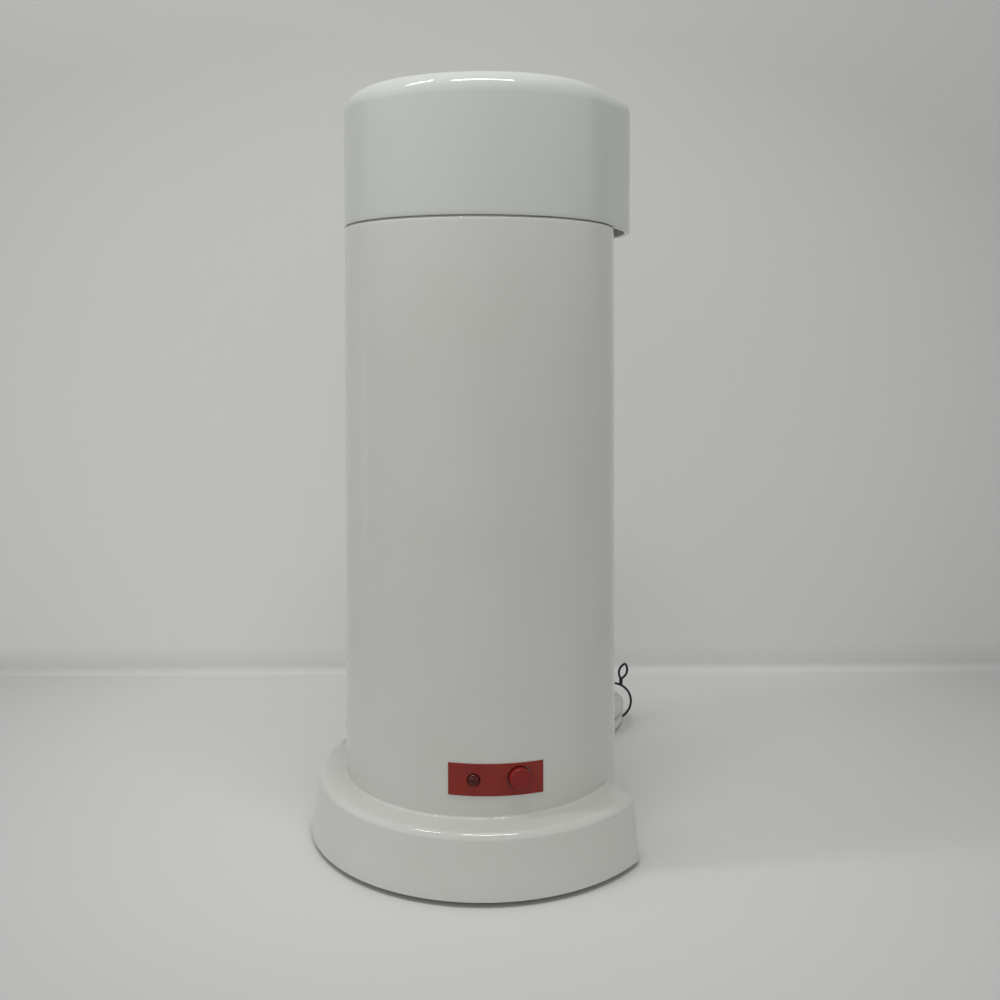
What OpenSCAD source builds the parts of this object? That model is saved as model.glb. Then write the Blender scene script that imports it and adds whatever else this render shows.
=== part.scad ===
// Electric iced tea maker: a tall crescent tower with its water tank, a flared foot ring
// and a deep hinged cap that reaches back over the place of the pitcher. Millimetres, +Z up.
// The pieces are drawn about the tower's axis and moved as one, so that the origin lies
// under the middle of the object on the counter. The front is -Y and the pitcher stands at +Y.

/* [Tower] */
// Radius of the tower at its top edge
tower_r = 60; // [58:0.5:62]
// Height of the tower's top edge above the counter
tower_top = 279; // [250:1:310]
// Wall of the tower
tower_wall = 2.4; // [2:0.1:2.8]
// Draft of the tower's outside, in degrees
draft = 1; // [0.6:0.1:1.3]
// Rounding of the tower's top edge
tower_round = 1; // [0.4:0.1:1.5]
// Width that is taken off the point of each horn
horn_cut = 3.2; // [2:0.2:5]

/* [Pitcher place] */
// Radius of the pitcher's hollow at its top
nest_r = 54; // [52:0.5:56]
// Distance from the tower's axis back to the pitcher's axis
nest_back = 44; // [42:0.5:46]
// Draft of the hollow's wall, in degrees
nest_draft = 0.25; // [0:0.05:0.5]

/* [Foot ring] */
// Radius of the foot ring at its lower rim
ring_foot_r = 83.2; // [80:0.4:90]
// Radius of the foot ring at its top land
ring_top_r = 78.3; // [77:0.1:79.5]
// Height of the top land above the counter
ring_top = 30; // [27:0.5:33]
// Height of the lower rim above the counter
ring_rim = 2.3; // [1.5:0.1:3]
// Wall of the foot ring
ring_wall = 2.4; // [1.8:0.1:3]
// Rounding of the land's outer edge
ring_round = 3.6; // [3.2:0.2:5]
// Distance of the end faces from the tower's axis
ring_end = 39.6; // [38:0.2:42]
// Turn of the end faces from straight sideways, in degrees
ring_end_turn = 52.8; // [50:0.2:56]
// Sideways shift of the foot ring from the tower's axis, towards the panel's side
ring_shift = 2.2; // [0:0.2:3]

/* [Cap] */
// Radius of the cap over the tower, at its rim
cap_r = 60.2; // [60:0.1:62]
// Radius of the cap's rear end, at its rim
cap_tail_r = 58.5; // [57:0.5:60]
// Distance from the tower's axis back to the centre of the cap's rear end
cap_back = 32.5; // [31:0.5:34]
// Height of the cap from its rim to its edge rounding's top
cap_h = 55.1; // [48:0.1:62]
// Rise of the crown above the edge rounding
crown = 1.8; // [0.5:0.1:3]
// Rounding of the cap's top edge
cap_round = 7.5; // [6:0.5:10]
// Wall of the cap
cap_wall = 2.6; // [2:0.1:3]
// Gap between the tower's top edge and the cap's rim
seam = 1; // [0.8:0.1:1.4]

/* [Hinge] */
// Distance of the hinge pin from the cap's rear end
pin_inset = 13; // [12:0.5:14]
// Height of the hinge pin above the cap's rim
pin_rise = 9.8; // [9:0.2:10]
// Radius of the hinge pin
pin_r = 1.6; // [1.4:0.1:2]
// Radius of the knuckle round the pin
knuckle_r = 5; // [4.4:0.1:5.2]
// Half of the knuckle's width
knuckle_half = 12; // [9:0.5:13]
// Width of each of the cap's hinge ears
ear_w = 5; // [3.5:0.5:6]

/* [Head tray] */
// Thickness of the tray's floor
tray_t = 2.2; // [1.8:0.1:3]
// Height of the tray's underside above the cap's rim
tray_rise = 4; // [3.6:0.1:4.4]
// Gap between the tray's edge and the inside of the cap
tray_gap = 2; // [1.8:0.1:3]
// Height of the splash lip round the tray
lip_h = 3; // [2:0.5:4]
// Thickness of the tray's walls
tray_wall = 1.8; // [1.4:0.1:2.2]
// Radius of the shower head's cup
shower_r = 16.5; // [14:0.5:17]

/* [Water tank] */
// Height of the tank's floor above the counter
tank_floor = 70; // [68:1:80]
// Wall of the tank
tank_wall = 1.6; // [1.2:0.1:2]
// Gap between the tank and the tower's inside
tank_gap = 0.8; // [0.6:0.1:1.4]
// Thickness of the tank gasket
gasket_t = 0.8; // [0.6:0.1:1.2]

/* [Heater and water line] */
// Radius of the heater tube's arc
heater_arc = 47.7; // [46:0.2:49]
// Outer radius of the water line's tubes
line_r = 4.5; // [4:0.1:4.6]
// Bore radius of the water line's tubes
line_bore = 3.3; // [2.6:0.1:3.4]
// Half of the heater's arc, in degrees
heater_half = 80; // [76:1:82]
// Bend radius of the heater tube's upturned ends
heater_bend = 9; // [8:0.5:10]
// Height of the heater's axis above the base plate
heater_rise = 10; // [9:0.5:12]
// Wall of the hoses
hose_wall = 1.7; // [1.2:0.1:2]
// Radius of the check valve's ball
ball_r = 3; // [2.8:0.1:3.2]
// Lift of the check valve's ball
ball_lift = 1.5; // [1:0.1:2]

/* [Panel] */
// Direction of the panel's middle, in degrees from the front towards +X
panel_turn = 30; // [24:1:36]
// Height of the panel's middle above the counter
panel_z = 47.2; // [46:0.2:52]
// Height of the panel
panel_h = 14.2; // [13:0.2:18]
// Half of the panel's arc, in degrees
panel_half = 18.35; // [17:0.25:20]
// Thickness of the panel
panel_t = 0.5; // [0.3:0.1:0.8]
// Angle from the panel's middle to the lamp and to the button, in degrees
panel_spread = 8.75; // [8.5:0.25:9.5]
// Radius of the power button
button_r = 4.85; // [4.4:0.05:5.2]
// Distance that the button stands proud of the tower
button_proud = 3; // [2.9:0.1:3.6]
// Travel of the power button
button_travel = 2.5; // [1.5:0.1:2.6]
// Radius of the lamp lens
lens_r = 2.65; // [2.4:0.05:3]

/* [Base plate and feet] */
// Height of the base plate's underside above the counter
foot_h = 4; // [3.6:0.1:5]
// Thickness of the base plate
plate_t = 2; // [1.6:0.1:2.4]
// Radius of the rubber feet
foot_r = 4.5; // [3.6:0.1:5]

/* [Mains cord] */
// Diameter of the cord
cord_d = 6; // [5:0.1:6]
// Length of the strain relief outside the foot ring
boot_len = 24; // [20:1:28]
// Radius of the coil's outermost turn, at the middle of the cord
coil_r = 38; // [36:0.5:44]
// Distance between turns that lie side by side, and between layers
coil_pitch = 6.6; // [6.5:0.1:7.5]
// Radius of the tie's wire ring
tie_r = 11.5; // [11:0.1:14]

/* [Hidden] */
$fn = 96;

// Clearance between pieces that are pushed or screwed together
fit = 0.15;
// Clearance between round pieces that turn or slide in each other
running = 0.06;
// Overlap of shapes that are joined, and overshoot of shapes that cut
bite = 1;
// Reach of the shapes that cut away everything on one side
far = 200;

// Heights of the stacked pieces
plate_top = foot_h + plate_t;
tower_foot = plate_top + fit;
cap_rim = tower_top + seam;
tray_bottom = cap_rim + tray_rise;
tray_top = tray_bottom + tray_t;
tank_flange = seam - 2 * fit;
gasket_z = tower_top + tank_flange;
collar_z = gasket_z + gasket_t;
heater_z = plate_top + heater_rise;

// Offsets that bring the middle of the object over the origin
axis_x = -ring_shift;
axis_y = (ring_foot_r - cap_back - cap_tail_r) / 2;

// Colours of the plastics and metals
white_plastic = [0.86, 0.86, 0.83];
cap_white = [0.83, 0.85, 0.84];
panel_red = [0.47, 0.12, 0.11];
steel = [0.72, 0.72, 0.74];
rubber_black = [0.08, 0.08, 0.08];
natural_plastic = [0.9, 0.9, 0.86];
silicone = [0.85, 0.82, 0.76];

// Radius of the tower's outside at a height
function tower_rad(z) = tower_r + (tower_top - z) * tan(draft);
// Radius of the pitcher's hollow at a height
function nest_rad(z) = nest_r - (tower_top - z) * tan(nest_draft);
// Distance back to the sharp point where the tower's outside meets the hollow
function horn_y(z) =
    (pow(tower_rad(z), 2) - pow(nest_rad(z), 2) + pow(nest_back, 2)) / (2 * nest_back);
// Point at an angle from the front towards +X, a radius and a height
function front_point(a, r, z) = [r * sin(a), -r * cos(a), z];
// Points along an arc in a plane
function arc(c, r, a0, a1, n) =
    [for (i = [0:n]) let (a = a0 + (a1 - a0) * i / n) [c[0] + r * cos(a), c[1] + r * sin(a)]];
function smooth_step(x) = let (t = min(max(x, 0), 1)) t * t * (3 - 2 * t);

// Moves the pieces from the tower's axis to the object's own origin
module at_origin() {
    translate([axis_x, axis_y, 0]) children();
}

// Moves the free cord sideways with them
module at_counter() {
    translate([axis_x, 0, 0]) children();
}

// Turns a piece so that its +Z points out of the tower at an angle from the front
module facing(a, z) {
    rotate([0, 0, a]) translate([0, 0, z]) rotate([90, 0, 0]) children();
}

// Upright crescent between the tower's outside and the hollow, drawn in from both by an inset
module crescent(z0, z1, inset) {
    difference() {
        translate([0, 0, z0])
            cylinder(h = z1 - z0, r1 = tower_rad(z0) - inset, r2 = tower_rad(z1) - inset);
        nest(z0 - bite, z1 + bite, inset);
    }
}

module nest(z0, z1, inset) {
    translate([0, nest_back, z0])
        cylinder(h = z1 - z0, r1 = nest_rad(z0) + inset, r2 = nest_rad(z1) + inset);
}

// Leaning block that takes the points off both horns
module horn_trim(z0, z1) {
    lean = atan((horn_y(z0) - horn_y(z1)) / (z1 - z0));
    translate([-far / 2, horn_y(z1) - horn_cut, z1]) rotate([lean, 0, 0])
        translate([0, 0, -2 * (z1 - z0)]) cube([far, far / 2, 3 * (z1 - z0)]);
}

// Keeps the stretch of the crescent that the tank fills, drawn in by an inset
tank_side = 41;
tank_rear = 9;
module tank_clip(inset) {
    translate([-far / 2, -far / 2, 0])
        cube([far / 2 + tank_side - inset, far / 2 + tank_rear - inset, 2 * tower_top]);
}

module tube(h, r, bore) {
    difference() {
        cylinder(h = h, r = r);
        translate([0, 0, -bite]) cylinder(h = h + 2 * bite, r = bore);
    }
}

module ring_profile(r, bore) {
    difference() {
        circle(r = r, $fn = 32);
        circle(r = bore, $fn = 32);
    }
}

// Frame of a swept tube at each of its points: sideways and upwards
function unit(v) = v / norm(v);
function along(p, i) = unit(p[min(i + 1, len(p) - 1)] - p[max(i - 1, 0)]);
function ring_at(p, i, r, n) =
    let (t = along(p, i), side = unit(cross(t, abs(t[2]) > 0.9 ? [0, 1, 0] : [0, 0, 1])),
        up = cross(side, t))
    [for (k = [0:n - 1]) let (a = 90 + 360 * k / n) p[i] + r * cos(a) * side + r * sin(a) * up];

// Unbroken round tube through a list of points
module sweep(p, r, n) {
    m = len(p);
    polyhedron(
        points = [for (i = [0:m - 1]) each ring_at(p, i, r, n)],
        faces = concat(
            [[for (k = [0:n - 1]) k]],
            [for (i = [0:m - 2], k = [0:n - 1])
                [i * n + k, (i + 1) * n + k, (i + 1) * n + (k + 1) % n]],
            [for (i = [0:m - 2], k = [0:n - 1])
                [i * n + k, (i + 1) * n + (k + 1) % n, i * n + (k + 1) % n]],
            [[for (k = [n - 1:-1:0]) (m - 1) * n + k]]));
}

// Tower: outside with its rounded top edge
module tower_outside() {
    lean = 90 - draft;
    centre = [tower_r - tower_round, tower_top - tower_round];
    rotate_extrude()
        polygon(concat([[0, tower_foot], [tower_rad(tower_foot), tower_foot]],
            arc(centre, tower_round, 0, 90, 6), [[0, tower_top]]));
}

// Screw bosses at the tower's foot
tower_boss_turns = [-70, -25, 12, 70];
tower_boss_top = plate_top + 20;
tower_boss_r = 3.6;
tower_boss_arc = tower_rad(tower_foot) - tower_wall - tower_boss_r + bite;
// Screw bosses in the horns under the head tray
horn_boss = [50.5, 17];
horn_boss_r = 3.5;
horn_boss_h = 24;
screw_r = 1.45;
screw_bore = 1.5;
// Switch and its holding ribs
switch_w = 20;
switch_h = 14;
switch_deep = 20;
face_r = tower_rad(panel_z);
button_turn = panel_turn + panel_spread;
lamp_turn = panel_turn - panel_spread;
switch_front = face_r - 13;
rib_t = 2;
// Opening for the leads in the tower's foot
lead_turn = -82;
lead_w = 12;
lead_h = 12;

module switch_ribs() {
    facing(button_turn, panel_z)
        for (side = [-1, 1])
            translate([side * (switch_w / 2 + fit + rib_t / 2) - rib_t / 2, -switch_h / 2,
                switch_front - switch_deep + bite])
                cube([rib_t, switch_h, face_r - 2 - switch_front + switch_deep - bite]);
}

module tower_shell() at_origin() color(white_plastic) {
    difference() {
        union() {
            difference() {
                tower_outside();
                nest(tower_foot - bite, tower_top + bite, 0);
                crescent(tower_foot - bite, tower_top + bite, tower_wall);
            }
            intersection() {
                union() {
                    for (a = tower_boss_turns)
                        translate(front_point(a, tower_boss_arc, tower_foot))
                            cylinder(h = tower_boss_top - tower_foot, r = tower_boss_r);
                    for (side = [-1, 1])
                        translate([side * horn_boss[0], horn_boss[1], tower_top - horn_boss_h])
                            cylinder(h = horn_boss_h, r = horn_boss_r);
                    switch_ribs();
                }
                crescent(tower_foot, tower_top, tower_wall / 2);
            }
        }
        horn_trim(tower_foot, tower_top);
        for (a = tower_boss_turns)
            translate(front_point(a, tower_boss_arc, tower_foot - bite))
                cylinder(h = 14, r = screw_bore);
        for (side = [-1, 1])
            translate([side * horn_boss[0], horn_boss[1], tower_top - 14])
                cylinder(h = 14 + bite, r = screw_bore);
        facing(button_turn, panel_z)
            translate([0, 0, switch_front]) cylinder(h = face_r, r = button_r + 2 * fit);
        facing(lamp_turn, panel_z)
            translate([0, 0, switch_front]) cylinder(h = face_r, r = lens_r + fit);
        rotate([0, 0, lead_turn])
            translate([-lead_w / 2, -face_r - 5, 0]) cube([lead_w, 12, tower_foot + lead_h]);
    }
}

// Foot ring: section of its outside, drawn in by an inset, down to a height
ring_lean = atan((ring_foot_r - ring_top_r) / (ring_top - ring_rim));
ring_centre = [ring_top_r - ring_round * (1 - sin(ring_lean)) / cos(ring_lean), ring_top - ring_round];
function ring_side(inset, z) = ring_top_r - inset / cos(ring_lean) + (ring_top - z) * tan(ring_lean);
function ring_section(inset, z) = concat(
    [[0, z], [ring_side(inset, z), z]],
    arc(ring_centre, ring_round - inset, ring_lean, 90, 8),
    [[0, ring_top - inset]]);

module ring_body(inset, z) {
    translate([ring_shift, 0, 0]) rotate_extrude() polygon(ring_section(inset, z));
}

module ring_ends(inset) {
    for (side = [-1, 1])
        rotate([0, 0, 90 - side * (90 - ring_end_turn)])
            translate([ring_end - inset, -far, -far / 2]) cube([far, 2 * far, far]);
}

// Screw bosses under the foot ring's land
ring_boss_turns = [-58, -20, 20, 58];
ring_boss_r = 3.6;
ring_boss_arc = (tower_rad(ring_top) + ring_top_r) / 2;
function ring_boss(a, z) = front_point(a, ring_boss_arc, z) + [ring_shift / 2, 0, 0];
// Cord's way out through the foot ring's end wall, in the end wall's own frame
exit_along = 59;
exit_z = 14;
boot_neck = 4.4;
exit_turn = 180 - ring_end_turn;
function exit_point(out, z) = [(ring_end + out) * cos(exit_turn) - exit_along * sin(exit_turn),
    (ring_end + out) * sin(exit_turn) + exit_along * cos(exit_turn), z];
module at_exit() {
    translate(exit_point(0, exit_z)) rotate([0, 0, exit_turn]) rotate([0, 90, 0]) children();
}

module base_housing() at_origin() color(white_plastic) {
    difference() {
        ring_body(0, ring_rim);
        translate([0, 0, ring_rim - bite])
            cylinder(h = ring_top - ring_rim + 2 * bite, r1 = tower_rad(ring_rim - bite) + fit,
                r2 = tower_rad(ring_top + bite) + fit);
        ring_ends(0);
        difference() {
            ring_body(ring_wall, ring_rim - bite);
            ring_ends(ring_wall);
        }
        at_exit() translate([0, 0, -2 * ring_wall]) cylinder(h = 3 * ring_wall, r = boot_neck + fit);
    }
    for (a = ring_boss_turns)
        translate(ring_boss(a, plate_top + fit)) difference() {
            cylinder(h = ring_top - ring_wall / 2 - plate_top - fit, r = ring_boss_r);
            translate([0, 0, -bite]) cylinder(h = 14, r = screw_bore);
        }
}

// Base plate under the tower and the foot ring
front_foot_turn = 40;
front_foot_arc = ring_side(ring_wall, plate_top) - foot_r - 4;
rear_foot = [53.5, 17];
foot_stem_r = 2;
slot_w = 2.6;
slot_len = 15;

module foot_places() {
    for (side = [-1, 1]) {
        translate(front_point(side * front_foot_turn, front_foot_arc, 0)) children();
        translate([side * rear_foot[0], rear_foot[1], 0]) children();
    }
}

bracket_turns = [-45, 0, 45];
bracket_arc = heater_arc - line_r - 0.5;

module screw_places() {
    for (a = tower_boss_turns) translate(front_point(a, tower_boss_arc, 0)) children();
    for (a = ring_boss_turns) translate(ring_boss(a, 0)) children();
}

module base_plate() at_origin() color([0.5, 0.5, 0.5]) {
    difference() {
        union() {
            difference() {
                crescent(foot_h, plate_top, 0);
                horn_trim(foot_h, tower_top);
            }
            difference() {
                translate([ring_shift, 0, foot_h])
                    tube(plate_t, ring_side(ring_wall + 2 * fit, plate_top), tower_r - 10);
                ring_ends(ring_wall + 2 * fit);
            }
        }
        screw_places() translate([0, 0, foot_h - bite]) cylinder(h = 2 * plate_t, r = screw_bore + fit);
        for (a = bracket_turns)
            translate(front_point(a, bracket_arc, foot_h - bite))
                cylinder(h = 2 * plate_t, r = screw_bore + fit);
        foot_places() cylinder(h = 2 * foot_h, r = foot_stem_r + fit / 2);
        for (a = [-60:10:60])
            if (min([for (b = bracket_turns) abs(a - b)]) > 8)
                rotate([0, 0, a])
                    translate([-slot_w / 2, -heater_arc - 3, foot_h - bite])
                        cube([slot_w, slot_len, 2 * plate_t]);
    }
}

module rubber_feet() at_origin() color(rubber_black) {
    foot_places() {
        rotate_extrude()
            polygon([[0, 0], [foot_r - 0.8, 0], [foot_r, 0.8], [foot_r, foot_h - fit / 3],
                [foot_stem_r, foot_h - fit / 3], [foot_stem_r, plate_top + fit / 3],
                [foot_stem_r + 0.8, plate_top + fit / 3], [foot_stem_r, plate_top + 1.6],
                [0, plate_top + 1.6]]);
    }
}

// Pan-head screw that points up, with its head under z = 0
head_r = 2.8;
head_h = 1.6;
module screw_up(length) {
    difference() {
        union() {
            translate([0, 0, -head_h]) cylinder(h = head_h, r1 = head_r - 0.5, r2 = head_r);
            cylinder(h = length, r = screw_r);
        }
        for (turn = [0, 90])
            rotate([0, 0, turn]) translate([-head_r / 2, -0.3, -head_h - bite]) cube([head_r, 0.6, bite + 0.7]);
    }
}

module base_screws() at_origin() color(steel) {
    screw_places() translate([0, 0, foot_h - fit / 3]) screw_up(12);
}

// Water tank that hangs in the tower by its flange
tank_inset = tower_wall + tank_gap;
flange_inset = tower_wall / 2;
mouth_inset = tank_inset + tank_wall + 1.4;
nipple_len = 7;
leg = [heater_arc * sin(heater_half) + heater_bend * cos(heater_half),
    heater_bend * sin(heater_half) - heater_arc * cos(heater_half)];

module reservoir_tank() at_origin() color(natural_plastic) {
    difference() {
        union() {
            intersection() {
                crescent(tank_floor, tower_top + tank_flange, tank_inset);
                tank_clip(0);
            }
            intersection() {
                crescent(tower_top + fit / 3, tower_top + tank_flange, flange_inset);
                tank_clip(0);
            }
            translate([-leg[0], leg[1], tank_floor - nipple_len])
                cylinder(h = nipple_len + tank_wall, r = line_r);
        }
        intersection() {
            crescent(tank_floor + tank_wall, tower_top + tank_flange + bite, tank_inset + tank_wall);
            tank_clip(tank_wall);
        }
        translate([-leg[0], leg[1], tank_floor - nipple_len - bite])
            cylinder(h = nipple_len + 2 * bite + tank_wall, r = line_bore);
    }
}

// Band along the tank's mouth, on which the gasket and the tray's collar sit
band_w = 2.4;
module mouth_block(z0, z1) {
    intersection() {
        crescent(z0, z1, mouth_inset - band_w);
        tank_clip(fit);
    }
}

module mouth_hole(z0, z1) {
    intersection() {
        crescent(z0 - bite, z1 + bite, mouth_inset);
        tank_clip(fit + band_w);
    }
}

module tank_gasket() at_origin() color(rubber_black) {
    difference() {
        mouth_block(gasket_z + fit / 3, collar_z - fit / 3);
        mouth_hole(gasket_z, collar_z);
    }
}

// Plan of the cap, drawn in by an inset: two round ends and the tangents between them, which
// lie a hair inside the circles so that they cross them cleanly
hair = 0.01;
module cap_plan(inset) {
    taper = asin((cap_r - cap_tail_r) / cap_back);
    front = cap_r - inset;
    tail = cap_tail_r - inset;
    circle(r = front);
    translate([0, cap_back]) circle(r = tail);
    a = [(front - hair) * cos(taper), (front - hair) * sin(taper)];
    b = [(tail - hair) * cos(taper), cap_back + (tail - hair) * sin(taper)];
    polygon([a, b, [-b[0], b[1]], [-a[0], a[1]]]);
}

pin_y = cap_back + cap_tail_r - pin_inset;
pin_z = cap_rim + pin_rise;
tray_rear = pin_y - norm([pin_inset - cap_wall, pin_rise]) - 0.5;
tray_edge = cap_wall + tray_gap;
riser_top = tray_top + 8;
shower_flange = 2;
shower_y = tray_rear - tray_wall - fit - shower_r - shower_flange;

module tray_outline(inset) {
    difference() {
        cap_plan(tray_edge + inset);
        translate([-far / 2, tray_rear - inset]) square([far, far]);
    }
}

module head_tray() at_origin() color(white_plastic) {
    difference() {
        union() {
            translate([0, 0, tray_bottom]) linear_extrude(tray_t) tray_outline(0);
            translate([0, 0, tray_bottom]) linear_extrude(tray_t + lip_h) difference() {
                tray_outline(0);
                tray_outline(tray_wall);
            }
            mouth_block(collar_z, tray_bottom + tray_t / 2);
            for (side = [-1, 1])
                translate([side * horn_boss[0], horn_boss[1], tower_top + fit / 3])
                    cylinder(h = tray_bottom + tray_t / 2 - tower_top, r = horn_boss_r);
            translate([-knuckle_half, tray_rear - bite, tray_bottom])
                cube([2 * knuckle_half, pin_y - tray_rear + bite, tray_t + lip_h]);
            translate([-knuckle_half, pin_y, pin_z]) rotate([0, 90, 0])
                cylinder(h = 2 * knuckle_half, r = knuckle_r);
        }
        mouth_hole(collar_z, tray_top + lip_h);
        translate([leg[0], leg[1], tray_bottom - bite]) cylinder(h = 3 * tray_t, r = line_r + fit);
        translate([0, shower_y, tray_bottom - bite]) cylinder(h = 3 * tray_t, r = shower_r + fit);
        for (side = [-1, 1])
            translate([side * horn_boss[0], horn_boss[1], tower_top - bite])
                cylinder(h = far, r = screw_bore + fit);
        for (side = [-1, 1])
            translate([side * horn_boss[0], horn_boss[1], tray_top])
                cylinder(h = far, r = head_r + 2 * fit);
        translate([-knuckle_half - bite, pin_y, pin_z]) rotate([0, 90, 0])
            cylinder(h = 2 * knuckle_half + 2 * bite, r = pin_r + 0.02);
    }
}

module tray_screws() at_origin() color(steel) {
    for (side = [-1, 1])
        translate([side * horn_boss[0], horn_boss[1], tray_top + fit / 3])
            rotate([180, 0, 0]) screw_up(tray_top - tower_top + 10);
}

module hinge_pin() at_origin() color(steel) {
    half = knuckle_half + 2 * fit + ear_w - fit;
    translate([-half, pin_y, pin_z]) rotate([0, 90, 0]) cylinder(h = 2 * half, r = pin_r);
}

// Cap: half section of one of its round ends, drawn in by an inset
function cap_section(r, inset, low) =
    let (top = cap_h - inset, edge = r - inset - (cap_h - cap_round) * tan(draft),
        bend = cap_round - inset)
    concat([[0, low], [r - inset - low * tan(draft), low]],
        [for (p = arc([edge - bend, top - bend], bend, 0, 90, 9)) p],
        [[0, top + crown]]);

module cap_solid(inset, low) {
    hull() {
        rotate_extrude($fn = 72) polygon(cap_section(cap_r, inset, low));
        translate([0, cap_back, 0]) rotate_extrude($fn = 72) polygon(cap_section(cap_tail_r, inset, low));
    }
}

// Hinge ear that hangs inside the cap's rear wall, carried up to the wall's height
ear_top = 16;
ear_tail = sqrt(pow(cap_tail_r - cap_wall / 2, 2) - pow(knuckle_half + ear_w, 2)) + cap_back - pin_y;
module cap_ear() {
    rotate([0, 90, 0]) cylinder(h = ear_w, r = knuckle_r);
    translate([0, 0, -knuckle_r]) cube([ear_w, ear_tail, knuckle_r + ear_top]);
    translate([0, -knuckle_r, 0]) cube([ear_w, knuckle_r + bite, ear_top - knuckle_r]);
}

hinge_half = knuckle_half + 2 * fit + ear_w + fit;
module cap() at_origin() color(cap_white) {
    difference() {
        union() {
            translate([0, 0, cap_rim]) difference() {
                cap_solid(0, 0);
                cap_solid(cap_wall, -bite);
            }
            for (side = [0, 1])
                mirror([side, 0, 0]) translate([knuckle_half + 2 * fit, pin_y, pin_z]) cap_ear();
        }
        translate([-hinge_half, pin_y, pin_z]) rotate([0, 90, 0])
            cylinder(h = 2 * hinge_half, r = pin_r + running);
    }
}

// Water line: riser, spout and shower head
leg_top = heater_z + heater_bend + 9;
riser_foot = leg_top + 1;
module riser_tube() at_origin() color(natural_plastic) {
    translate([leg[0], leg[1], riser_foot]) tube(riser_top - riser_foot, line_r, line_bore);
}

spout_wall = 1.6;
spout_bend = 5;
socket_h = riser_top - tray_top - lip_h - 2 * fit;
spout_z = riser_top + fit + 2;
spout_run = norm([leg[0], shower_y - leg[1]]);
spout_turn = atan2(shower_y - leg[1], -leg[0]);

module spout_elbow(turn) {
    rotate([90, 0, 0]) rotate([0, 0, turn]) rotate_extrude(angle = 90)
        translate([spout_bend, 0]) ring_profile(line_r, line_bore);
}

module spout_tube() at_origin() color(natural_plastic) {
    translate([leg[0], leg[1], 0]) rotate([0, 0, spout_turn]) {
        translate([0, 0, riser_top - socket_h])
            tube(socket_h + fit, line_r + fit / 3 + spout_wall, line_r + fit / 3);
        translate([0, 0, riser_top + fit]) tube(2, line_r + fit / 3 + spout_wall, line_bore);
        translate([spout_bend, 0, spout_z]) spout_elbow(90);
        translate([spout_bend, 0, spout_z + spout_bend]) rotate([0, 90, 0])
            tube(spout_run - 2 * spout_bend, line_r, line_bore);
        translate([spout_run - spout_bend, 0, spout_z]) spout_elbow(0);
        translate([spout_run, 0, tray_top + 1]) tube(spout_z - tray_top - 1, line_r, line_bore);
    }
}

// Shower head: a shallow cup with rings of drip holes
cup_drop = 4.5;
cup_t = 1.4;
module shower_head() at_origin() color(natural_plastic) {
    translate([0, shower_y, tray_top]) difference() {
        union() {
            translate([0, 0, fit / 3]) cylinder(h = cup_t, r = shower_r + shower_flange);
            translate([0, 0, -cup_drop]) cylinder(h = cup_drop + cup_t, r = shower_r);
        }
        translate([0, 0, cup_t - cup_drop]) cylinder(h = cup_drop + bite, r = shower_r - cup_t);
        for (circle_r = [6, 12], turn = [0:30:330])
            rotate([0, 0, turn + circle_r]) translate([circle_r, 0, -cup_drop - bite])
                cylinder(h = 2 * cup_t + bite, r = 1, $fn = 24);
    }
}

// Heater: a bent water tube with a heating rod along its inner side
rod_arc = heater_arc - 2 * line_r - 1;
rod_half = heater_half - 8;
module arc_bar(path_r, half, r) {
    rotate([0, 0, -90 - half]) rotate_extrude(angle = 2 * half) translate([path_r, heater_z]) circle(r = r, $fn = 32);
}

// Upturned end of the tube, with the collar that joins it to the arc
collar_w = 2;
module heater_end() {
    translate([0, -heater_arc, heater_z + heater_bend])
        rotate([90, 0, 0]) rotate([0, 0, -90]) rotate_extrude(angle = 90)
            translate([heater_bend, 0]) ring_profile(line_r, line_bore);
    translate([heater_bend, -heater_arc, heater_z + heater_bend])
        tube(leg_top - heater_z - heater_bend, line_r, line_bore);
    translate([-collar_w / 2, -heater_arc, heater_z]) rotate([0, 90, 0])
        tube(collar_w, line_r + 2 * fit, (line_r + line_bore) / 2);
}

module heater_tube() at_origin() color([0.78, 0.78, 0.8]) {
    for (side = [0, 1]) mirror([side, 0, 0]) rotate([0, 0, heater_half]) heater_end();
    rotate([0, 0, -90 - heater_half]) rotate_extrude(angle = 2 * heater_half) {
        translate([heater_arc, heater_z]) ring_profile(line_r, line_bore);
        difference() {
            translate([rod_arc, heater_z - 1]) square([heater_arc - rod_arc - line_bore - 0.5, 2]);
            translate([rod_arc, heater_z]) circle(r = line_r + fit / 3, $fn = 32);
        }
    }
}

pin_len = 7;
module heater_element() at_origin() color([0.45, 0.45, 0.47]) {
    arc_bar(rod_arc, rod_half, line_r);
    for (side = [-1, 1])
        rotate([0, 0, side * rod_half]) translate([0, -rod_arc, heater_z]) rotate([0, side * 90, 0]) {
            cylinder(h = 5, r = 3);
            cylinder(h = 5 + pin_len, r = 1.1);
        }
}

bracket_w = 10;
module heater_brackets() at_origin() color(steel) {
    difference() {
        for (a = bracket_turns)
            rotate([0, 0, a])
                translate([-bracket_w / 2, -heater_arc - line_r, plate_top + fit / 3])
                    cube([bracket_w, heater_arc - rod_arc + 2 * line_r, heater_rise - 1]);
        arc_bar(heater_arc, heater_half, line_r + fit / 3);
        arc_bar(rod_arc, heater_half, line_r + fit / 3);
        difference() {
            translate([0, 0, heater_z - 1 - fit]) tube(3, heater_arc, rod_arc);
        }
        for (a = bracket_turns)
            translate(front_point(a, bracket_arc, plate_top)) cylinder(h = 5, r = screw_bore);
    }
}

module bracket_screws() at_origin() color(steel) {
    for (a = bracket_turns)
        translate(front_point(a, bracket_arc, foot_h - fit / 3)) screw_up(plate_t + 4.5);
}

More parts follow.
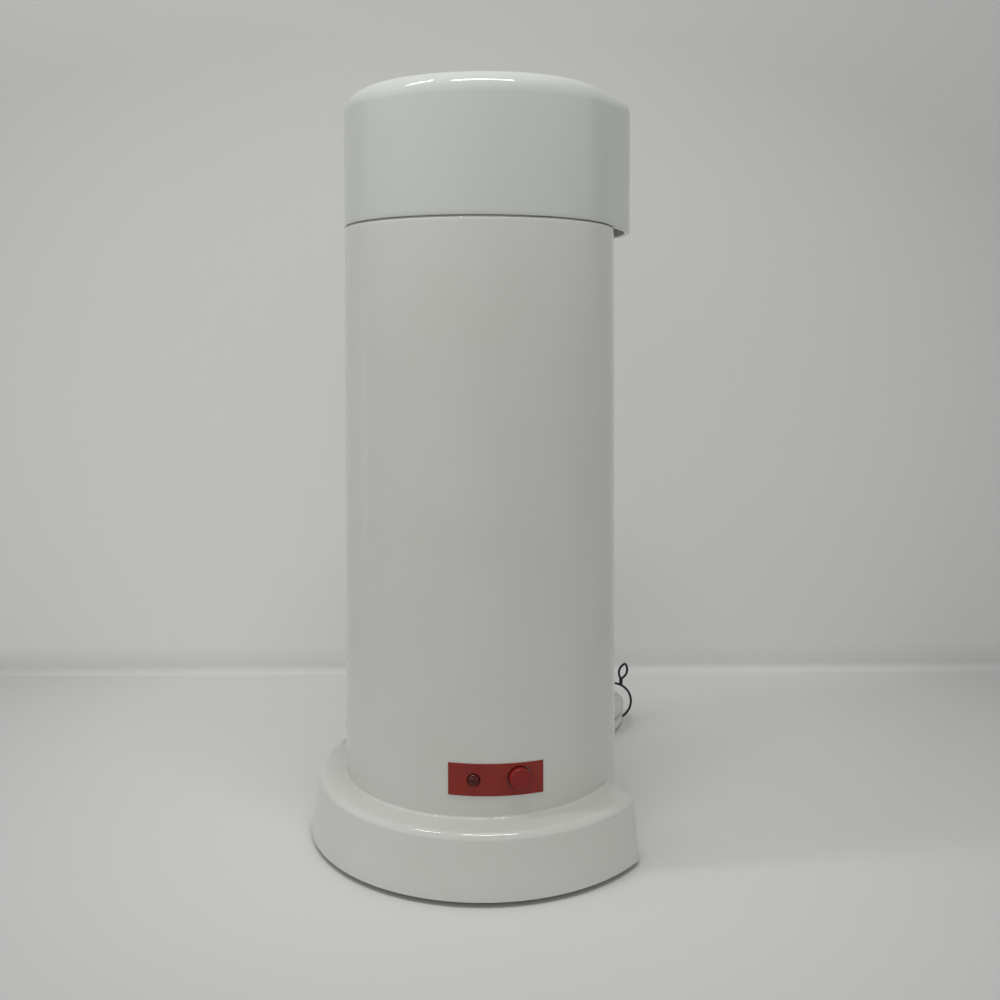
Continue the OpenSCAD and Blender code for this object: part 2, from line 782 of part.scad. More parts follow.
// Thermostat disc and thermal fuse, laid on the heater
sensor_z = heater_z + line_r + fit / 3;
sensor_arc = (heater_arc + rod_arc) / 2;
module thermostat() at_origin() color([0.2, 0.2, 0.22]) {
    translate(front_point(0, sensor_arc, sensor_z)) {
        cylinder(h = 1.2, r = 9);
        cylinder(h = 6, r = 7.5);
        for (side = [-1, 1])
            translate([side * 5 - 1.6, -0.4, 5]) cube([3.2, 0.8, 8]);
    }
}

fuse_turn = -28;
module thermal_fuse() at_origin() color([0.8, 0.78, 0.7]) {
    rotate([0, 0, fuse_turn]) translate([-8, -sensor_arc, sensor_z + 2.4]) rotate([0, 90, 0]) {
        cylinder(h = 16, r = 2.4, $fn = 32);
        translate([0, 0, -4]) cylinder(h = 24, r = 0.6, $fn = 24);
    }
}

// Hoses, clamps and check valve on the way from the tank to the heater
hose_bore = line_r + fit / 3;
hose_r = hose_bore + hose_wall;
barb_len = 8;
valve_r = 7;
valve_z = leg_top + 1 + barb_len;
ball_seat = 2.2;
ball_cage = 1.5;
chamber_h = sqrt(pow(ball_r, 2) - pow(ball_seat, 2)) + sqrt(pow(ball_r, 2) - pow(ball_cage, 2))
    + ball_lift + running;
valve_h = chamber_h + 3.6;
valve_top = valve_z + valve_h + (tank_floor - nipple_len - valve_z - valve_h) - 1;
hose_end = 0.5;

module inlet_line() {
    translate([-leg[0], leg[1], 0]) children();
}

module lower_inlet_hose() at_origin() color(silicone) {
    inlet_line() translate([0, 0, leg_top - barb_len + hose_end])
        tube(2 * barb_len + 1 - 2 * hose_end, hose_r, hose_bore);
}

module upper_inlet_hose() at_origin() color(silicone) {
    low = valve_z + valve_h + hose_end;
    inlet_line() translate([0, 0, low]) tube(tank_floor - hose_end - low, hose_r, hose_bore);
}

module outlet_hose() at_origin() color(silicone) {
    translate([leg[0], leg[1], leg_top - barb_len + hose_end])
        tube(2 * barb_len + 1 - hose_end, hose_r, hose_bore);
}

clamp_w = 3;
clamp_t = 0.8;
module hose_clamp() {
    tube(clamp_w, hose_r + fit / 3 + clamp_t, hose_r + fit / 3);
    translate([hose_r + fit / 3 + clamp_t / 2, -1.2, 0]) cube([3, 2.4, clamp_w]);
}

module hose_clamps() at_origin() color(steel) {
    inlet_line() mirror([1, 0, 0]) {
        translate([0, 0, leg_top - clamp_w - 2]) rotate([0, 0, 200]) hose_clamp();
        translate([0, 0, leg_top + 3]) rotate([0, 0, 200]) hose_clamp();
        translate([0, 0, valve_z + valve_h + 1]) rotate([0, 0, 200]) hose_clamp();
        translate([0, 0, tank_floor - clamp_w - 1.5]) rotate([0, 0, 200]) hose_clamp();
    }
    translate([leg[0], leg[1], 0]) {
        translate([0, 0, leg_top - clamp_w - 2]) rotate([0, 0, 200]) hose_clamp();
        translate([0, 0, leg_top + 3]) rotate([0, 0, 200]) hose_clamp();
    }
}

chamber_z = valve_z + 1.8;
module valve_body() at_origin() color([0.85, 0.85, 0.8]) {
    inlet_line() difference() {
        union() {
            translate([0, 0, leg_top + 1]) cylinder(h = valve_top - leg_top - 1, r = line_r);
            translate([0, 0, valve_z]) cylinder(h = valve_h, r = valve_r);
        }
        translate([0, 0, leg_top]) cylinder(h = valve_z - leg_top, r = line_bore);
        translate([0, 0, valve_z - bite]) cylinder(h = valve_h, r = ball_cage, $fn = 48);
        for (turn = [0:90:270])
            rotate([0, 0, turn]) translate([3, 0, valve_z - bite]) cylinder(h = 4, r = 0.8, $fn = 24);
        translate([0, 0, chamber_z]) cylinder(h = chamber_h, r = ball_r + 1.2);
        translate([0, 0, chamber_z]) cylinder(h = valve_h, r = ball_seat);
        translate([0, 0, valve_z + valve_h]) cylinder(h = far / 10, r = line_bore);
    }
}

module valve_ball() at_origin() color([0.9, 0.3, 0.2]) {
    inlet_line()
        translate([0, 0, chamber_z + sqrt(pow(ball_r, 2) - pow(ball_cage, 2)) + running / 2])
            sphere(r = ball_r, $fn = 48);
}

// Control panel with its lamp and button
module control_panel() at_origin() color(panel_red) {
    low = panel_z - panel_h / 2;
    high = panel_z + panel_h / 2;
    difference() {
        rotate([0, 0, panel_turn - 90 - panel_half])
            rotate_extrude(angle = 2 * panel_half)
                polygon([[tower_rad(low) + 0.02, low], [tower_rad(low) + panel_t, low],
                    [tower_rad(high) + panel_t, high], [tower_rad(high) + 0.02, high]]);
        facing(button_turn, panel_z) cylinder(h = far, r = button_r + 3 * fit);
        facing(lamp_turn, panel_z) cylinder(h = far, r = lens_r + fit);
    }
}

// Face of the lens and of the button: a low dome over a round stem
module domed(r, foot, top, dome) {
    big = (pow(r, 2) + pow(dome, 2)) / (2 * dome);
    intersection() {
        translate([0, 0, foot]) cylinder(h = top - foot, r = r);
        translate([0, 0, top - big]) sphere(r = big);
    }
}

lens_proud = 2.2;
inner_face = face_r - tower_wall - 0.8;
module lamp_lens() at_origin() color([0.3, 0.03, 0.03]) {
    facing(lamp_turn, panel_z) difference() {
        union() {
            domed(lens_r, inner_face - 2, face_r + lens_proud, 1.5);
            translate([0, 0, inner_face - 1.2]) cylinder(h = 1.2, r = lens_r + 1.2);
        }
        translate([0, 0, inner_face - 3]) cylinder(h = 4, r = lens_r - 0.7);
    }
}

module indicator_lamp() at_origin() color([0.9, 0.55, 0.3]) {
    facing(lamp_turn, panel_z) {
        translate([0, 0, inner_face - 12]) cylinder(h = 10, r = lens_r - 0.8, $fn = 32);
        translate([0, 0, inner_face - 2]) sphere(r = lens_r - 0.8, $fn = 32);
    }
}

button_flange = 1.4;
button_back = inner_face - button_flange;
plunger_r = 2.2;
module power_button() at_origin() color(panel_red) {
    facing(button_turn, panel_z) {
        domed(button_r, button_back, face_r + button_proud, 0.7);
        translate([0, 0, button_back]) cylinder(h = button_flange, r = button_r + 1.2);
    }
}

module switch_plunger() at_origin() color([0.15, 0.15, 0.15]) {
    facing(button_turn, panel_z) translate([0, 0, switch_front - 5])
        cylinder(h = button_back - switch_front + 5 - 0.02, r = plunger_r);
}

// Return spring round the plunger
spring_turns = 4;
spring_mean = 3.6;
spring_wire = 0.35;
module button_spring() at_origin() color(steel) {
    low = switch_front + spring_wire + fit / 3;
    rise = button_back - switch_front - 2 * spring_wire - 2 * fit / 3;
    facing(button_turn, panel_z)
        sweep([for (i = [0:8 * spring_turns])
            [spring_mean * cos(45 * i), spring_mean * sin(45 * i), low + rise * i / (8 * spring_turns)]],
            spring_wire, 6);
}

terminal_len = 6;
module switch_body() at_origin() color([0.12, 0.12, 0.12]) {
    facing(button_turn, panel_z) difference() {
        union() {
            translate([-switch_w / 2, -switch_h / 2, switch_front - switch_deep])
                cube([switch_w, switch_h, switch_deep]);
            for (side = [-1, 1])
                translate([side * 5 - 0.4, -2.4, switch_front - switch_deep - terminal_len])
                    cube([0.8, 4.8, terminal_len + bite]);
        }
        translate([0, 0, switch_front - 5 - button_travel - bite])
            cylinder(h = far, r = plunger_r + running);
    }
}

// Leads inside the foot and the tower
lead_r = 0.9;
lead_arc = tower_rad(tower_boss_top) - tower_wall - lead_r - 1.5;
lead_z = tower_boss_top + 8;
switch_back = switch_front - switch_deep - terminal_len - lead_r - fit;
boot_in = ring_wall + 2 + 3 * fit;

module lead(points) {
    sweep(points, lead_r, 6);
}

module lead_live() at_origin() color([0.1, 0.1, 0.1]) {
    lead(concat([exit_point(-boot_in, exit_z + 1.8), exit_point(-boot_in - 2, exit_z + 1.6),
        [-63.4, -10.2, 14.2], [-60, -9.8, 14.6],
        [-58.6, -11, 19], [-58, -13, 25]],
        [for (a = [-72:12:0]) front_point(a, lead_arc, lead_z)],
        [front_point(3, lead_arc - 9, lead_z + 3), front_point(5, lead_arc - 18, lead_z + 6),
        front_point(4, switch_back + 10, lead_z + 8), front_point(27, switch_back, panel_z)]));
}

module lead_return() at_origin() color([0.9, 0.9, 0.88]) {
    rod_end = front_point(-rod_half - 20.6, rod_arc + 1.2, heater_z);
    lead([exit_point(-boot_in, exit_z - 1.8), exit_point(-boot_in - 2, exit_z - 2),
        [-63.2, -12, 11], [-60, -13.2, 11.4], [-58.4, -13.4, 16],
        [-56, -12.4, 22.5], front_point(1.3 - heater_half, heater_arc + 3.3, heater_z + 8),
        front_point(-0.7 - heater_half, heater_arc - 2.1, heater_z + 6.4), rod_end + [-2.6, -2.6, 3.4], rod_end]);
}

module lead_heater() at_origin() color([0.85, 0.85, 0.82]) {
    lead([front_point(49, switch_back, panel_z), front_point(42, switch_back - 3, panel_z - 7),
        front_point(24, 30, 38), [6.6, -sensor_arc, sensor_z + 13 + lead_r + fit]]);
}

// Strain relief: a grooved, tapered boot on a neck through the end wall
module strain_relief() at_origin() color([0.88, 0.88, 0.86]) {
    at_exit() difference() {
        union() {
            translate([0, 0, -ring_wall - 2 - fit]) cylinder(h = 2, r = boot_neck + 0.8);
            translate([0, 0, -ring_wall - 2]) cylinder(h = ring_wall + 3, r = boot_neck);
            translate([0, 0, fit / 3]) cylinder(h = 3, r = 6);
            cylinder(h = boot_len, r1 = 5.2, r2 = cord_d / 2 + 0.7);
        }
        for (i = [0:4])
            translate([0, 0, 7 + 3.6 * i]) tube(1.4, 7, 4.3 - 0.1 * i);
    }
}

// Free cord: a run from the boot along the counter, a coil behind the pitcher's place, and a
// short tail to the plug. These points are in the object's own frame.
coil_centre = [-11.5, 137.5];
coil_turns = 3.5;
tie_turn = 24;
tie_lift = 2.5;
cord_r = cord_d / 2;
run_points = [
    exit_point(boot_len, exit_z) + [0, axis_y, 0], exit_point(boot_len + 6, exit_z) + [0, axis_y, 0],
    [-92.2, 21.4, 13.4], [-95.2, 29.2, 11], [-97, 37.5, 8],
    [-98, 45.5, 5.5], [-98, 54, 3.6], [-97, 62, 3], [-94, 70, 3], [-89.5, 77, 3], [-83.5, 83.5, 3],
    [-76, 89, 3], [-67.5, 93.5, 3], [-58, 96.5, 3], [-48, 98.3, 3], [-38, 99.2, 3], [-28, 99.5, 3],
    [-17.5, 99.5, 3], [-11.5, 99.5, 3]
];
tail_points = [
    [-11.5, 175.5, 9.6], [-17.5, 175.5, 9.6], [-24, 176, 8.6], [-31, 176.8, 7], [-38, 177, 6.6],
    [-44, 177, 6.6]
];

// The coil spirals in on the counter, climbs a layer where it turns, and spirals out again
coil_mid = coil_turns / 2;
function coil_rad(turn) = coil_r - coil_pitch * (coil_mid - abs(turn - coil_mid));
function coil_rise(turn) = coil_pitch * smooth_step((turn - coil_mid) * 2 + 0.5);
function tie_gap(a) = let (d = abs(a - tie_turn - 360 * round((a - tie_turn) / 360))) min(d, 60);
function tie_bump(a) = tie_lift * pow(cos(1.5 * tie_gap(a)), 2);
function coil_point(turn) = let (a = 360 * turn - 90) [
    coil_centre[0] + coil_rad(turn) * cos(a), coil_centre[1] + coil_rad(turn) * sin(a),
    cord_r + coil_rise(turn) + tie_bump(a)];
coil_steps = 24 * coil_turns;
coil_inner = [for (i = [0:coil_steps]) coil_point(i * coil_turns / coil_steps)];
coil_points = concat(
    [coil_inner[0], coil_inner[0] + [cord_r / 4, 0, 0]],
    [for (i = [1:coil_steps - 1]) coil_inner[i]],
    [coil_inner[coil_steps] + [cord_r / 4, 0, 0], coil_inner[coil_steps]]);
// Least gap of the coil to itself, between points more than half a turn apart
coil_gap = min([for (i = [0:coil_steps - 13], j = [i + 13:coil_steps])
    norm(coil_inner[i] - coil_inner[j])]) - cord_d;
echo(coil_gap = coil_gap);
function path_length(p) = [for (i = [1:len(p) - 1]) norm(p[i] - p[i - 1])] * [for (i = [1:len(p) - 1]) 1];
echo(cord_length = path_length(run_points) + path_length(coil_inner) + path_length(tail_points));

module cord_run() at_counter() color([0.9, 0.9, 0.88]) sweep(run_points, cord_r, 8);
module cord_coil() at_counter() color([0.9, 0.9, 0.88]) sweep(coil_points, cord_r, 6);
module cord_tail() at_counter() color([0.9, 0.9, 0.88]) sweep(tail_points, cord_r, 8);

// Two-blade plug that lies on the counter
plug_at = tail_points[len(tail_points) - 1];
plug_len = 26;
plug_w = 24;
plug_h = 2 * plug_at[2];
blade_gap = 12.7;
module plug_body() at_counter() color([0.9, 0.9, 0.88]) {
    translate([plug_at[0], plug_at[1], 0]) difference() {
        union() {
            translate([-plug_len, 0, 0]) linear_extrude(plug_h)
                polygon([[0, -plug_w / 2], [14, -plug_w / 2], [plug_len - 3, -5], [plug_len, -5],
                    [plug_len, 5], [plug_len - 3, 5], [14, plug_w / 2], [0, plug_w / 2]]);
        }
        for (side = [-1, 1], i = [0:2])
            translate([-plug_len + 15 + 3 * i, side * (plug_w / 2 - 3.6) - 4, -bite])
                cube([1.4, 8, bite + 1]);
        for (side = [-1, 1])
            translate([-plug_len - bite, side * blade_gap / 2 - 0.85, plug_h / 2 - 3.3])
                cube([6, 1.7, 6.6]);
    }
}

module plug_blades() at_counter() color(steel) {
    for (side = [-1, 1])
        translate([plug_at[0] - plug_len - 17, plug_at[1] + side * blade_gap / 2 - 0.75, plug_h / 2 - 3.15])
            difference() {
                cube([21.5, 1.5, 6.3]);
                translate([3.5, -bite, 3.15]) rotate([-90, 0, 0]) cylinder(h = 4, r = 1.6, $fn = 24);
            }
}

// Wire tie round the coil: a ring, a twist and the leaf-shaped loop of its ends
tie_wire = 0.7;
leaf_arc = 6.2;
leaf_half = 52;
tie_place = coil_r - 0.75 * coil_pitch;
module cord_tie() at_counter() color([0.06, 0.06, 0.06]) {
    translate([coil_centre[0], coil_centre[1], 0]) rotate([0, 0, tie_turn])
        translate([tie_place, 0, tie_r + tie_wire]) {
            rotate([90, 0, 0]) rotate_extrude() translate([tie_r, 0]) circle(r = tie_wire, $fn = 16);
            translate([5.2, 0, sqrt(pow(tie_r, 2) - pow(5.2, 2))]) cylinder(h = 4.4, r = 1.1, $fn = 16);
            translate([5.2, 0, sqrt(pow(tie_r, 2) - pow(5.2, 2)) + 4]) rotate([0, 14, 0])
                for (side = [-1, 1])
                    translate([-side * leaf_arc * cos(leaf_half), 0, leaf_arc * sin(leaf_half)])
                        rotate([90, 0, 0]) rotate([0, 0, side < 0 ? 180 - leaf_half : -leaf_half])
                            rotate_extrude(angle = 2 * leaf_half) translate([leaf_arc, 0])
                                circle(r = tie_wire, $fn = 16);
        }
}

tower_shell();
base_housing();
base_plate();
rubber_feet();
base_screws();
reservoir_tank();
tank_gasket();
head_tray();
tray_screws();
hinge_pin();
cap();
riser_tube();
spout_tube();
shower_head();
heater_tube();
heater_element();
heater_brackets();
bracket_screws();
thermostat();
thermal_fuse();
upper_inlet_hose();
lower_inlet_hose();
outlet_hose();
hose_clamps();
valve_body();
valve_ball();
control_panel();
lamp_lens();
indicator_lamp();
power_button();
button_spring();
switch_plunger();
switch_body();
lead_live();
lead_return();
lead_heater();
strain_relief();
cord_run();
cord_coil();
cord_tail();
plug_body();
plug_blades();
cord_tie();
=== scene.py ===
import math

import bmesh
import bpy
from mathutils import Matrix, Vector


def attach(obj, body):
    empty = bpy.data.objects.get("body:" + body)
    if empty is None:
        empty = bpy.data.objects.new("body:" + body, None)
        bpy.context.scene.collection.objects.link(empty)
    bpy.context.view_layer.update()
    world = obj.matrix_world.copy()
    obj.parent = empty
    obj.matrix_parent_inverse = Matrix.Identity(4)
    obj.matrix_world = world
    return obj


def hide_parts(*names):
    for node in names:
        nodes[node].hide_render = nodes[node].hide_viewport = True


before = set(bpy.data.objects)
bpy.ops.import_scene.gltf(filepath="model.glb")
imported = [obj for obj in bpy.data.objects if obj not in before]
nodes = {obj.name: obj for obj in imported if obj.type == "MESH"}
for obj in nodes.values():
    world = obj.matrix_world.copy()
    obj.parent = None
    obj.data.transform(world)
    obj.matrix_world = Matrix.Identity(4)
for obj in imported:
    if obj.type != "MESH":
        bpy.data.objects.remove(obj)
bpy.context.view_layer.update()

# ------------------------------------------------ sizes, in millimetres about the tower's axis
MM = 0.001
TOWER_R, TOWER_TOP, TOWER_WALL, DRAFT = 60.0, 279.0, 2.4, 1.0
NEST_R, NEST_BACK, NEST_DRAFT = 54.0, 44.0, 0.25
HORN_CUT = 3.2
RING_FOOT_R, RING_TOP_R, RING_TOP, RING_RIM, RING_WALL = 83.2, 78.3, 30.0, 2.3, 2.4
RING_ROUND, RING_END, RING_END_TURN, RING_SHIFT = 3.6, 39.6, 52.8, 2.2
CAP_R, CAP_TAIL_R, CAP_BACK, CAP_H, CROWN, CAP_WALL = 60.0, 58.5, 32.5, 55.4, 1.2, 2.6
CAP_ROUND, CAP_TAIL_ROUND, CAP_TAIL_DRAFT, CAP_RISE, CAP_TAIL_POWER = 9.0, 5.6, 0.8, 0.031, 1.85
SEAM = 1.0
CAP_RIM = TOWER_TOP + SEAM
PANEL_TURN, PANEL_Z, PANEL_H, PANEL_HALF, PANEL_T, PANEL_SPREAD = 30.0, 47.2, 13.9, 18.35, 0.5, 8.75
PANEL_TILT, PANEL_DROP = -0.023, -0.25
BUTTON_R, BUTTON_PROUD, LENS_R, LENS_PROUD, FIT = 4.85, 3.0, 2.65, 2.2, 0.15
PIN_Y, PIN_Z, KNUCKLE_R, KNUCKLE_HALF, EAR_W, EAR_TOP = 78.0, CAP_RIM + 9.8, 5.0, 12.0, 5.0, 16.0
AXIS_X, AXIS_Y = -RING_SHIFT, (RING_FOOT_R - CAP_BACK - CAP_TAIL_R) / 2
TOWER_FOOT = 6.15
CORD_D = 6.0


def tan(deg):
    return math.tan(math.radians(deg))


def sin(deg):
    return math.sin(math.radians(deg))


def cos(deg):
    return math.cos(math.radians(deg))


def place(x, y, z):
    """A point given in millimetres about the tower's axis, in the row frame."""
    return Vector(((x + AXIS_X) * MM, (y + AXIS_Y) * MM, z * MM))


def tower_rad(z):
    return TOWER_R + (TOWER_TOP - z) * tan(DRAFT)


def nest_rad(z):
    return NEST_R - (TOWER_TOP - z) * tan(NEST_DRAFT)


def front_point(turn, radius, z):
    return (radius * sin(turn), -radius * cos(turn), z)


# ---------------------------------------------------------------- camera
CAMERA_TURN, CAMERA_DIST, CAMERA_Z = 24.0, 497.1, 232.8
PITCH, YAW = math.degrees(0.1515), math.degrees(0.0186)
PICTURE_SIDE, FOCAL, SENSOR = 1000.0, 1080.0, 36.0
# level directions from the camera's place: towards the machine, and to its right
AHEAD = Vector((-sin(CAMERA_TURN), cos(CAMERA_TURN), 0))
RIGHT = Vector((cos(CAMERA_TURN), sin(CAMERA_TURN), 0))


def make_camera():
    data = bpy.data.cameras.new("camera")
    data.sensor_fit = "HORIZONTAL"
    data.sensor_width = SENSOR
    data.lens = SENSOR * FOCAL / PICTURE_SIDE
    data.clip_start, data.clip_end = 0.01, 20.0
    obj = bpy.data.objects.new("camera", data)
    bpy.context.scene.collection.objects.link(obj)
    obj.location = place(*front_point(CAMERA_TURN, CAMERA_DIST, CAMERA_Z))
    turn = CAMERA_TURN - YAW
    ahead = Vector((-sin(turn) * cos(PITCH), cos(turn) * cos(PITCH), -sin(PITCH)))
    obj.rotation_euler = ahead.to_track_quat("-Z", "Y").to_euler()
    bpy.context.scene.camera = obj


make_camera()

# ---------------------------------------------------------------- materials
def new_material(name):
    mat = bpy.data.materials.new(name)
    mat.use_nodes = True
    tree = mat.node_tree
    tree.nodes.clear()
    out = tree.nodes.new("ShaderNodeOutputMaterial")
    bsdf = tree.nodes.new("ShaderNodeBsdfPrincipled")
    tree.links.new(bsdf.outputs["BSDF"], out.inputs["Surface"])
    return mat, tree, bsdf


def srgb(r, g, b):
    """A colour written as display values from 0 to 255, as linear light."""
    def lin(v):
        v /= 255.0
        return v / 12.92 if v <= 0.04045 else ((v + 0.055) / 1.055) ** 2.4
    return (lin(r), lin(g), lin(b), 1.0)


def noise_node(tree, scale, detail=3.0, rough=0.5, stretch=(1, 1, 1)):
    coord = tree.nodes.new("ShaderNodeTexCoord")
    mapping = tree.nodes.new("ShaderNodeMapping")
    mapping.inputs["Scale"].default_value = stretch
    tree.links.new(coord.outputs["Object"], mapping.inputs["Vector"])
    tex = tree.nodes.new("ShaderNodeTexNoise")
    tex.inputs["Scale"].default_value = scale
    tex.inputs["Detail"].default_value = detail
    tex.inputs["Roughness"].default_value = rough
    tree.links.new(mapping.outputs["Vector"], tex.inputs["Vector"])
    return tex


def ramp(tree, source, low, high, a, b):
    node = tree.nodes.new("ShaderNodeMapRange")
    node.inputs["From Min"].default_value = low
    node.inputs["From Max"].default_value = high
    node.inputs["To Min"].default_value = a
    node.inputs["To Max"].default_value = b
    tree.links.new(source, node.inputs["Value"])
    return node.outputs["Result"]


def mix_colour(tree, factor, a, b):
    node = tree.nodes.new("ShaderNodeMix")
    node.data_type = "RGBA"
    node.inputs["A"].default_value = a
    node.inputs["B"].default_value = b
    tree.links.new(factor, node.inputs["Factor"])
    return node.outputs["Result"]


def combine(tree, operation, a, b):
    node = tree.nodes.new("ShaderNodeMath")
    node.operation = operation
    tree.links.new(a, node.inputs[0])
    tree.links.new(b, node.inputs[1])
    return node.outputs[0]


def add_bump(tree, bsdf, height, strength, distance):
    bump = tree.nodes.new("ShaderNodeBump")
    bump.inputs["Strength"].default_value = strength
    bump.inputs["Distance"].default_value = distance
    tree.links.new(height, bump.inputs["Height"])
    tree.links.new(bump.outputs["Normal"], bsdf.inputs["Normal"])


def plastic(name, colour, worn, rough=(0.16, 0.24), gleam=0.5, cloud=14.0, peel=0.04, grain=450.0):
    """Moulded plastic: faint clouding of its colour, uneven gloss and a very fine orange peel."""
    mat, tree, bsdf = new_material(name)
    cloud_tex = noise_node(tree, cloud, 4.0, 0.55)
    factor = ramp(tree, cloud_tex.outputs["Fac"], 0.35, 0.7, 0.0, 1.0)
    tree.links.new(mix_colour(tree, factor, colour, worn), bsdf.inputs["Base Color"])
    gloss = noise_node(tree, cloud * 4.0, 3.0, 0.6)
    tree.links.new(ramp(tree, gloss.outputs["Fac"], 0.3, 0.75, rough[0], rough[1]), bsdf.inputs["Roughness"])
    bsdf.inputs["Specular IOR Level"].default_value = gleam
    peel_tex = noise_node(tree, grain, 2.0, 0.5)
    add_bump(tree, bsdf, peel_tex.outputs["Fac"], peel, 0.0002)
    return mat


def metal(name, colour, rough=(0.25, 0.4), stretch=(1, 1, 20)):
    """Metal with fine drawn lines, or an even grain where the stretch is the same each way."""
    mat, tree, bsdf = new_material(name)
    bsdf.inputs["Metallic"].default_value = 1.0
    lines = noise_node(tree, 300.0, 4.0, 0.7, stretch)
    dark = tuple(c * 0.8 for c in colour[:3]) + (1.0,)
    tree.links.new(mix_colour(tree, lines.outputs["Fac"], dark, colour), bsdf.inputs["Base Color"])
    tree.links.new(ramp(tree, lines.outputs["Fac"], 0.3, 0.7, rough[0], rough[1]), bsdf.inputs["Roughness"])
    add_bump(tree, bsdf, lines.outputs["Fac"], 0.06, 0.0001)
    return mat


BODY = plastic("body_white", srgb(195, 196, 191), srgb(192, 192, 186), rough=(0.05, 0.09), peel=0.012)
CAP = plastic("cap_white", srgb(190, 193, 189), srgb(187, 190, 185), rough=(0.05, 0.09), peel=0.012)
RED = plastic("panel_red", srgb(128, 38, 26), srgb(118, 33, 30), rough=(0.34, 0.42), gleam=0.3,
              cloud=60.0, grain=2500.0)
BUTTON = plastic("button_red", srgb(126, 30, 27), srgb(118, 27, 25), rough=(0.16, 0.22), gleam=0.28,
                 cloud=90.0, grain=1500.0)
LENS = plastic("lens_red", srgb(78, 8, 13), srgb(60, 5, 10), rough=(0.03, 0.05), gleam=0.32,
               cloud=200.0, peel=0.0)
NATURAL = plastic("natural", srgb(196, 196, 188), srgb(188, 188, 178), rough=(0.35, 0.5))
DARK = plastic("dark_plastic", srgb(44, 44, 46), srgb(36, 36, 38), rough=(0.4, 0.55))
GREY = plastic("plate_grey", srgb(128, 128, 127), srgb(118, 118, 116), rough=(0.45, 0.6))
RUBBER = plastic("rubber", srgb(34, 34, 34), srgb(24, 24, 24), rough=(0.7, 0.85), peel=0.3, grain=1800.0)
SILICONE = plastic("silicone", srgb(200, 194, 182), srgb(188, 181, 168), rough=(0.45, 0.6), peel=0.1)
CERAMIC = plastic("ceramic", srgb(205, 202, 190), srgb(190, 186, 172), rough=(0.6, 0.75), peel=0.2,
                  grain=1200.0)
SHEATH = plastic("cord_white", srgb(196, 196, 190), srgb(186, 185, 176), rough=(0.42, 0.55), peel=0.12,
                 grain=900.0)
COATED = plastic("wire_black", srgb(22, 22, 22), srgb(14, 14, 14), rough=(0.35, 0.5), peel=0.05)
STEEL = metal("steel", srgb(176, 176, 178))
ALUMINIUM = metal("aluminium", srgb(196, 197, 200), (0.35, 0.5))
HEATER = metal("heater_grey", srgb(105, 105, 108), (0.5, 0.65), (3, 3, 3))


# ---------------------------------------------------------------- mesh tools
def finish_mesh(name, bm, body, material, replaced, sharp=38.0):
    """Makes a piece of a mesh, on its body, in place of the CAD nodes that it replaces."""
    bmesh.ops.recalc_face_normals(bm, faces=bm.faces)
    mesh = bpy.data.meshes.new(name)
    bm.to_mesh(mesh)
    bm.free()
    mesh.shade_smooth()
    mesh.set_sharp_from_angle(angle=math.radians(sharp))
    obj = bpy.data.objects.new(name, mesh)
    bpy.context.scene.collection.objects.link(obj)
    obj.data.materials.append(material)
    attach(obj, body)
    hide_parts(*replaced)
    return obj


def add_loft(bm, loops, closed=True, wrap=False, cap_first=False, cap_last=False):
    rows = [[bm.verts.new(p) for p in loop] for loop in loops]
    count = len(rows[0])
    steps = count if closed else count - 1
    last = len(rows) if wrap else len(rows) - 1
    for i in range(last):
        a, b = rows[i], rows[(i + 1) % len(rows)]
        for k in range(steps):
            m = (k + 1) % count
            bm.faces.new((a[k], a[m], b[m], b[k]))
    if cap_first:
        bm.faces.new(list(reversed(rows[0])))
    if cap_last:
        bm.faces.new(rows[-1])
    return rows


def circle(centre, axis, radius, count):
    """Points of a circle about an axis that isn't vertical."""
    side = axis.cross(Vector((0, 0, 1))).normalized()
    top = side.cross(axis)
    step = 2 * math.pi / count
    return [centre + radius * (math.cos(step * k) * side + math.sin(step * k) * top) for k in range(count)]


def add_revolve(bm, centre, axis, profile, count):
    """profile is a list of (distance along the axis, radius), in millimetres."""
    axis = axis.normalized()
    loops = [circle(centre + axis * (d * MM), axis, max(r, 0.01) * MM, count) for d, r in profile]
    add_loft(bm, loops, cap_first=True, cap_last=True)


def arc(cx, cy, r, a0, a1, n):
    turns = [a0 + (a1 - a0) * i / n for i in range(n + 1)]
    return [(cx + r * cos(a), cy + r * sin(a)) for a in turns]


def bezier(a, b, c, n):
    """Points of the rounded corner from a to c about the corner b, without its two ends."""
    points = []
    for i in range(1, n):
        t = i / n
        points.append(tuple((1 - t) ** 2 * a[k] + 2 * t * (1 - t) * b[k] + t * t * c[k] for k in (0, 1)))
    return points


def boolean_cut(obj, cutters):
    for cutter in cutters:
        mod = obj.modifiers.new("cut", "BOOLEAN")
        mod.operation = "DIFFERENCE"
        mod.solver = "EXACT"
        mod.object = cutter
    bpy.context.view_layer.update()
    graph = bpy.context.evaluated_depsgraph_get()
    mesh = bpy.data.meshes.new_from_object(obj.evaluated_get(graph))
    obj.modifiers.clear()
    obj.data = mesh
    for cutter in cutters:
        bpy.data.objects.remove(cutter)


def cutter(start, axis, radius, length, count=96):
    bm = bmesh.new()
    add_revolve(bm, start, axis, [(0, radius), (length, radius)], count)
    bmesh.ops.recalc_face_normals(bm, faces=bm.faces)
    mesh = bpy.data.meshes.new("cutter")
    bm.to_mesh(mesh)
    bm.free()
    obj = bpy.data.objects.new("cutter", mesh)
    bpy.context.scene.collection.objects.link(obj)
    return obj


# ---------------------------------------------------------------- tower
def horn_y(z):
    return (tower_rad(z) ** 2 - nest_rad(z) ** 2 + NEST_BACK ** 2) / (2 * NEST_BACK)


OUTER_STEPS, NEST_STEPS, CORNER_STEPS = 240, 120, 6


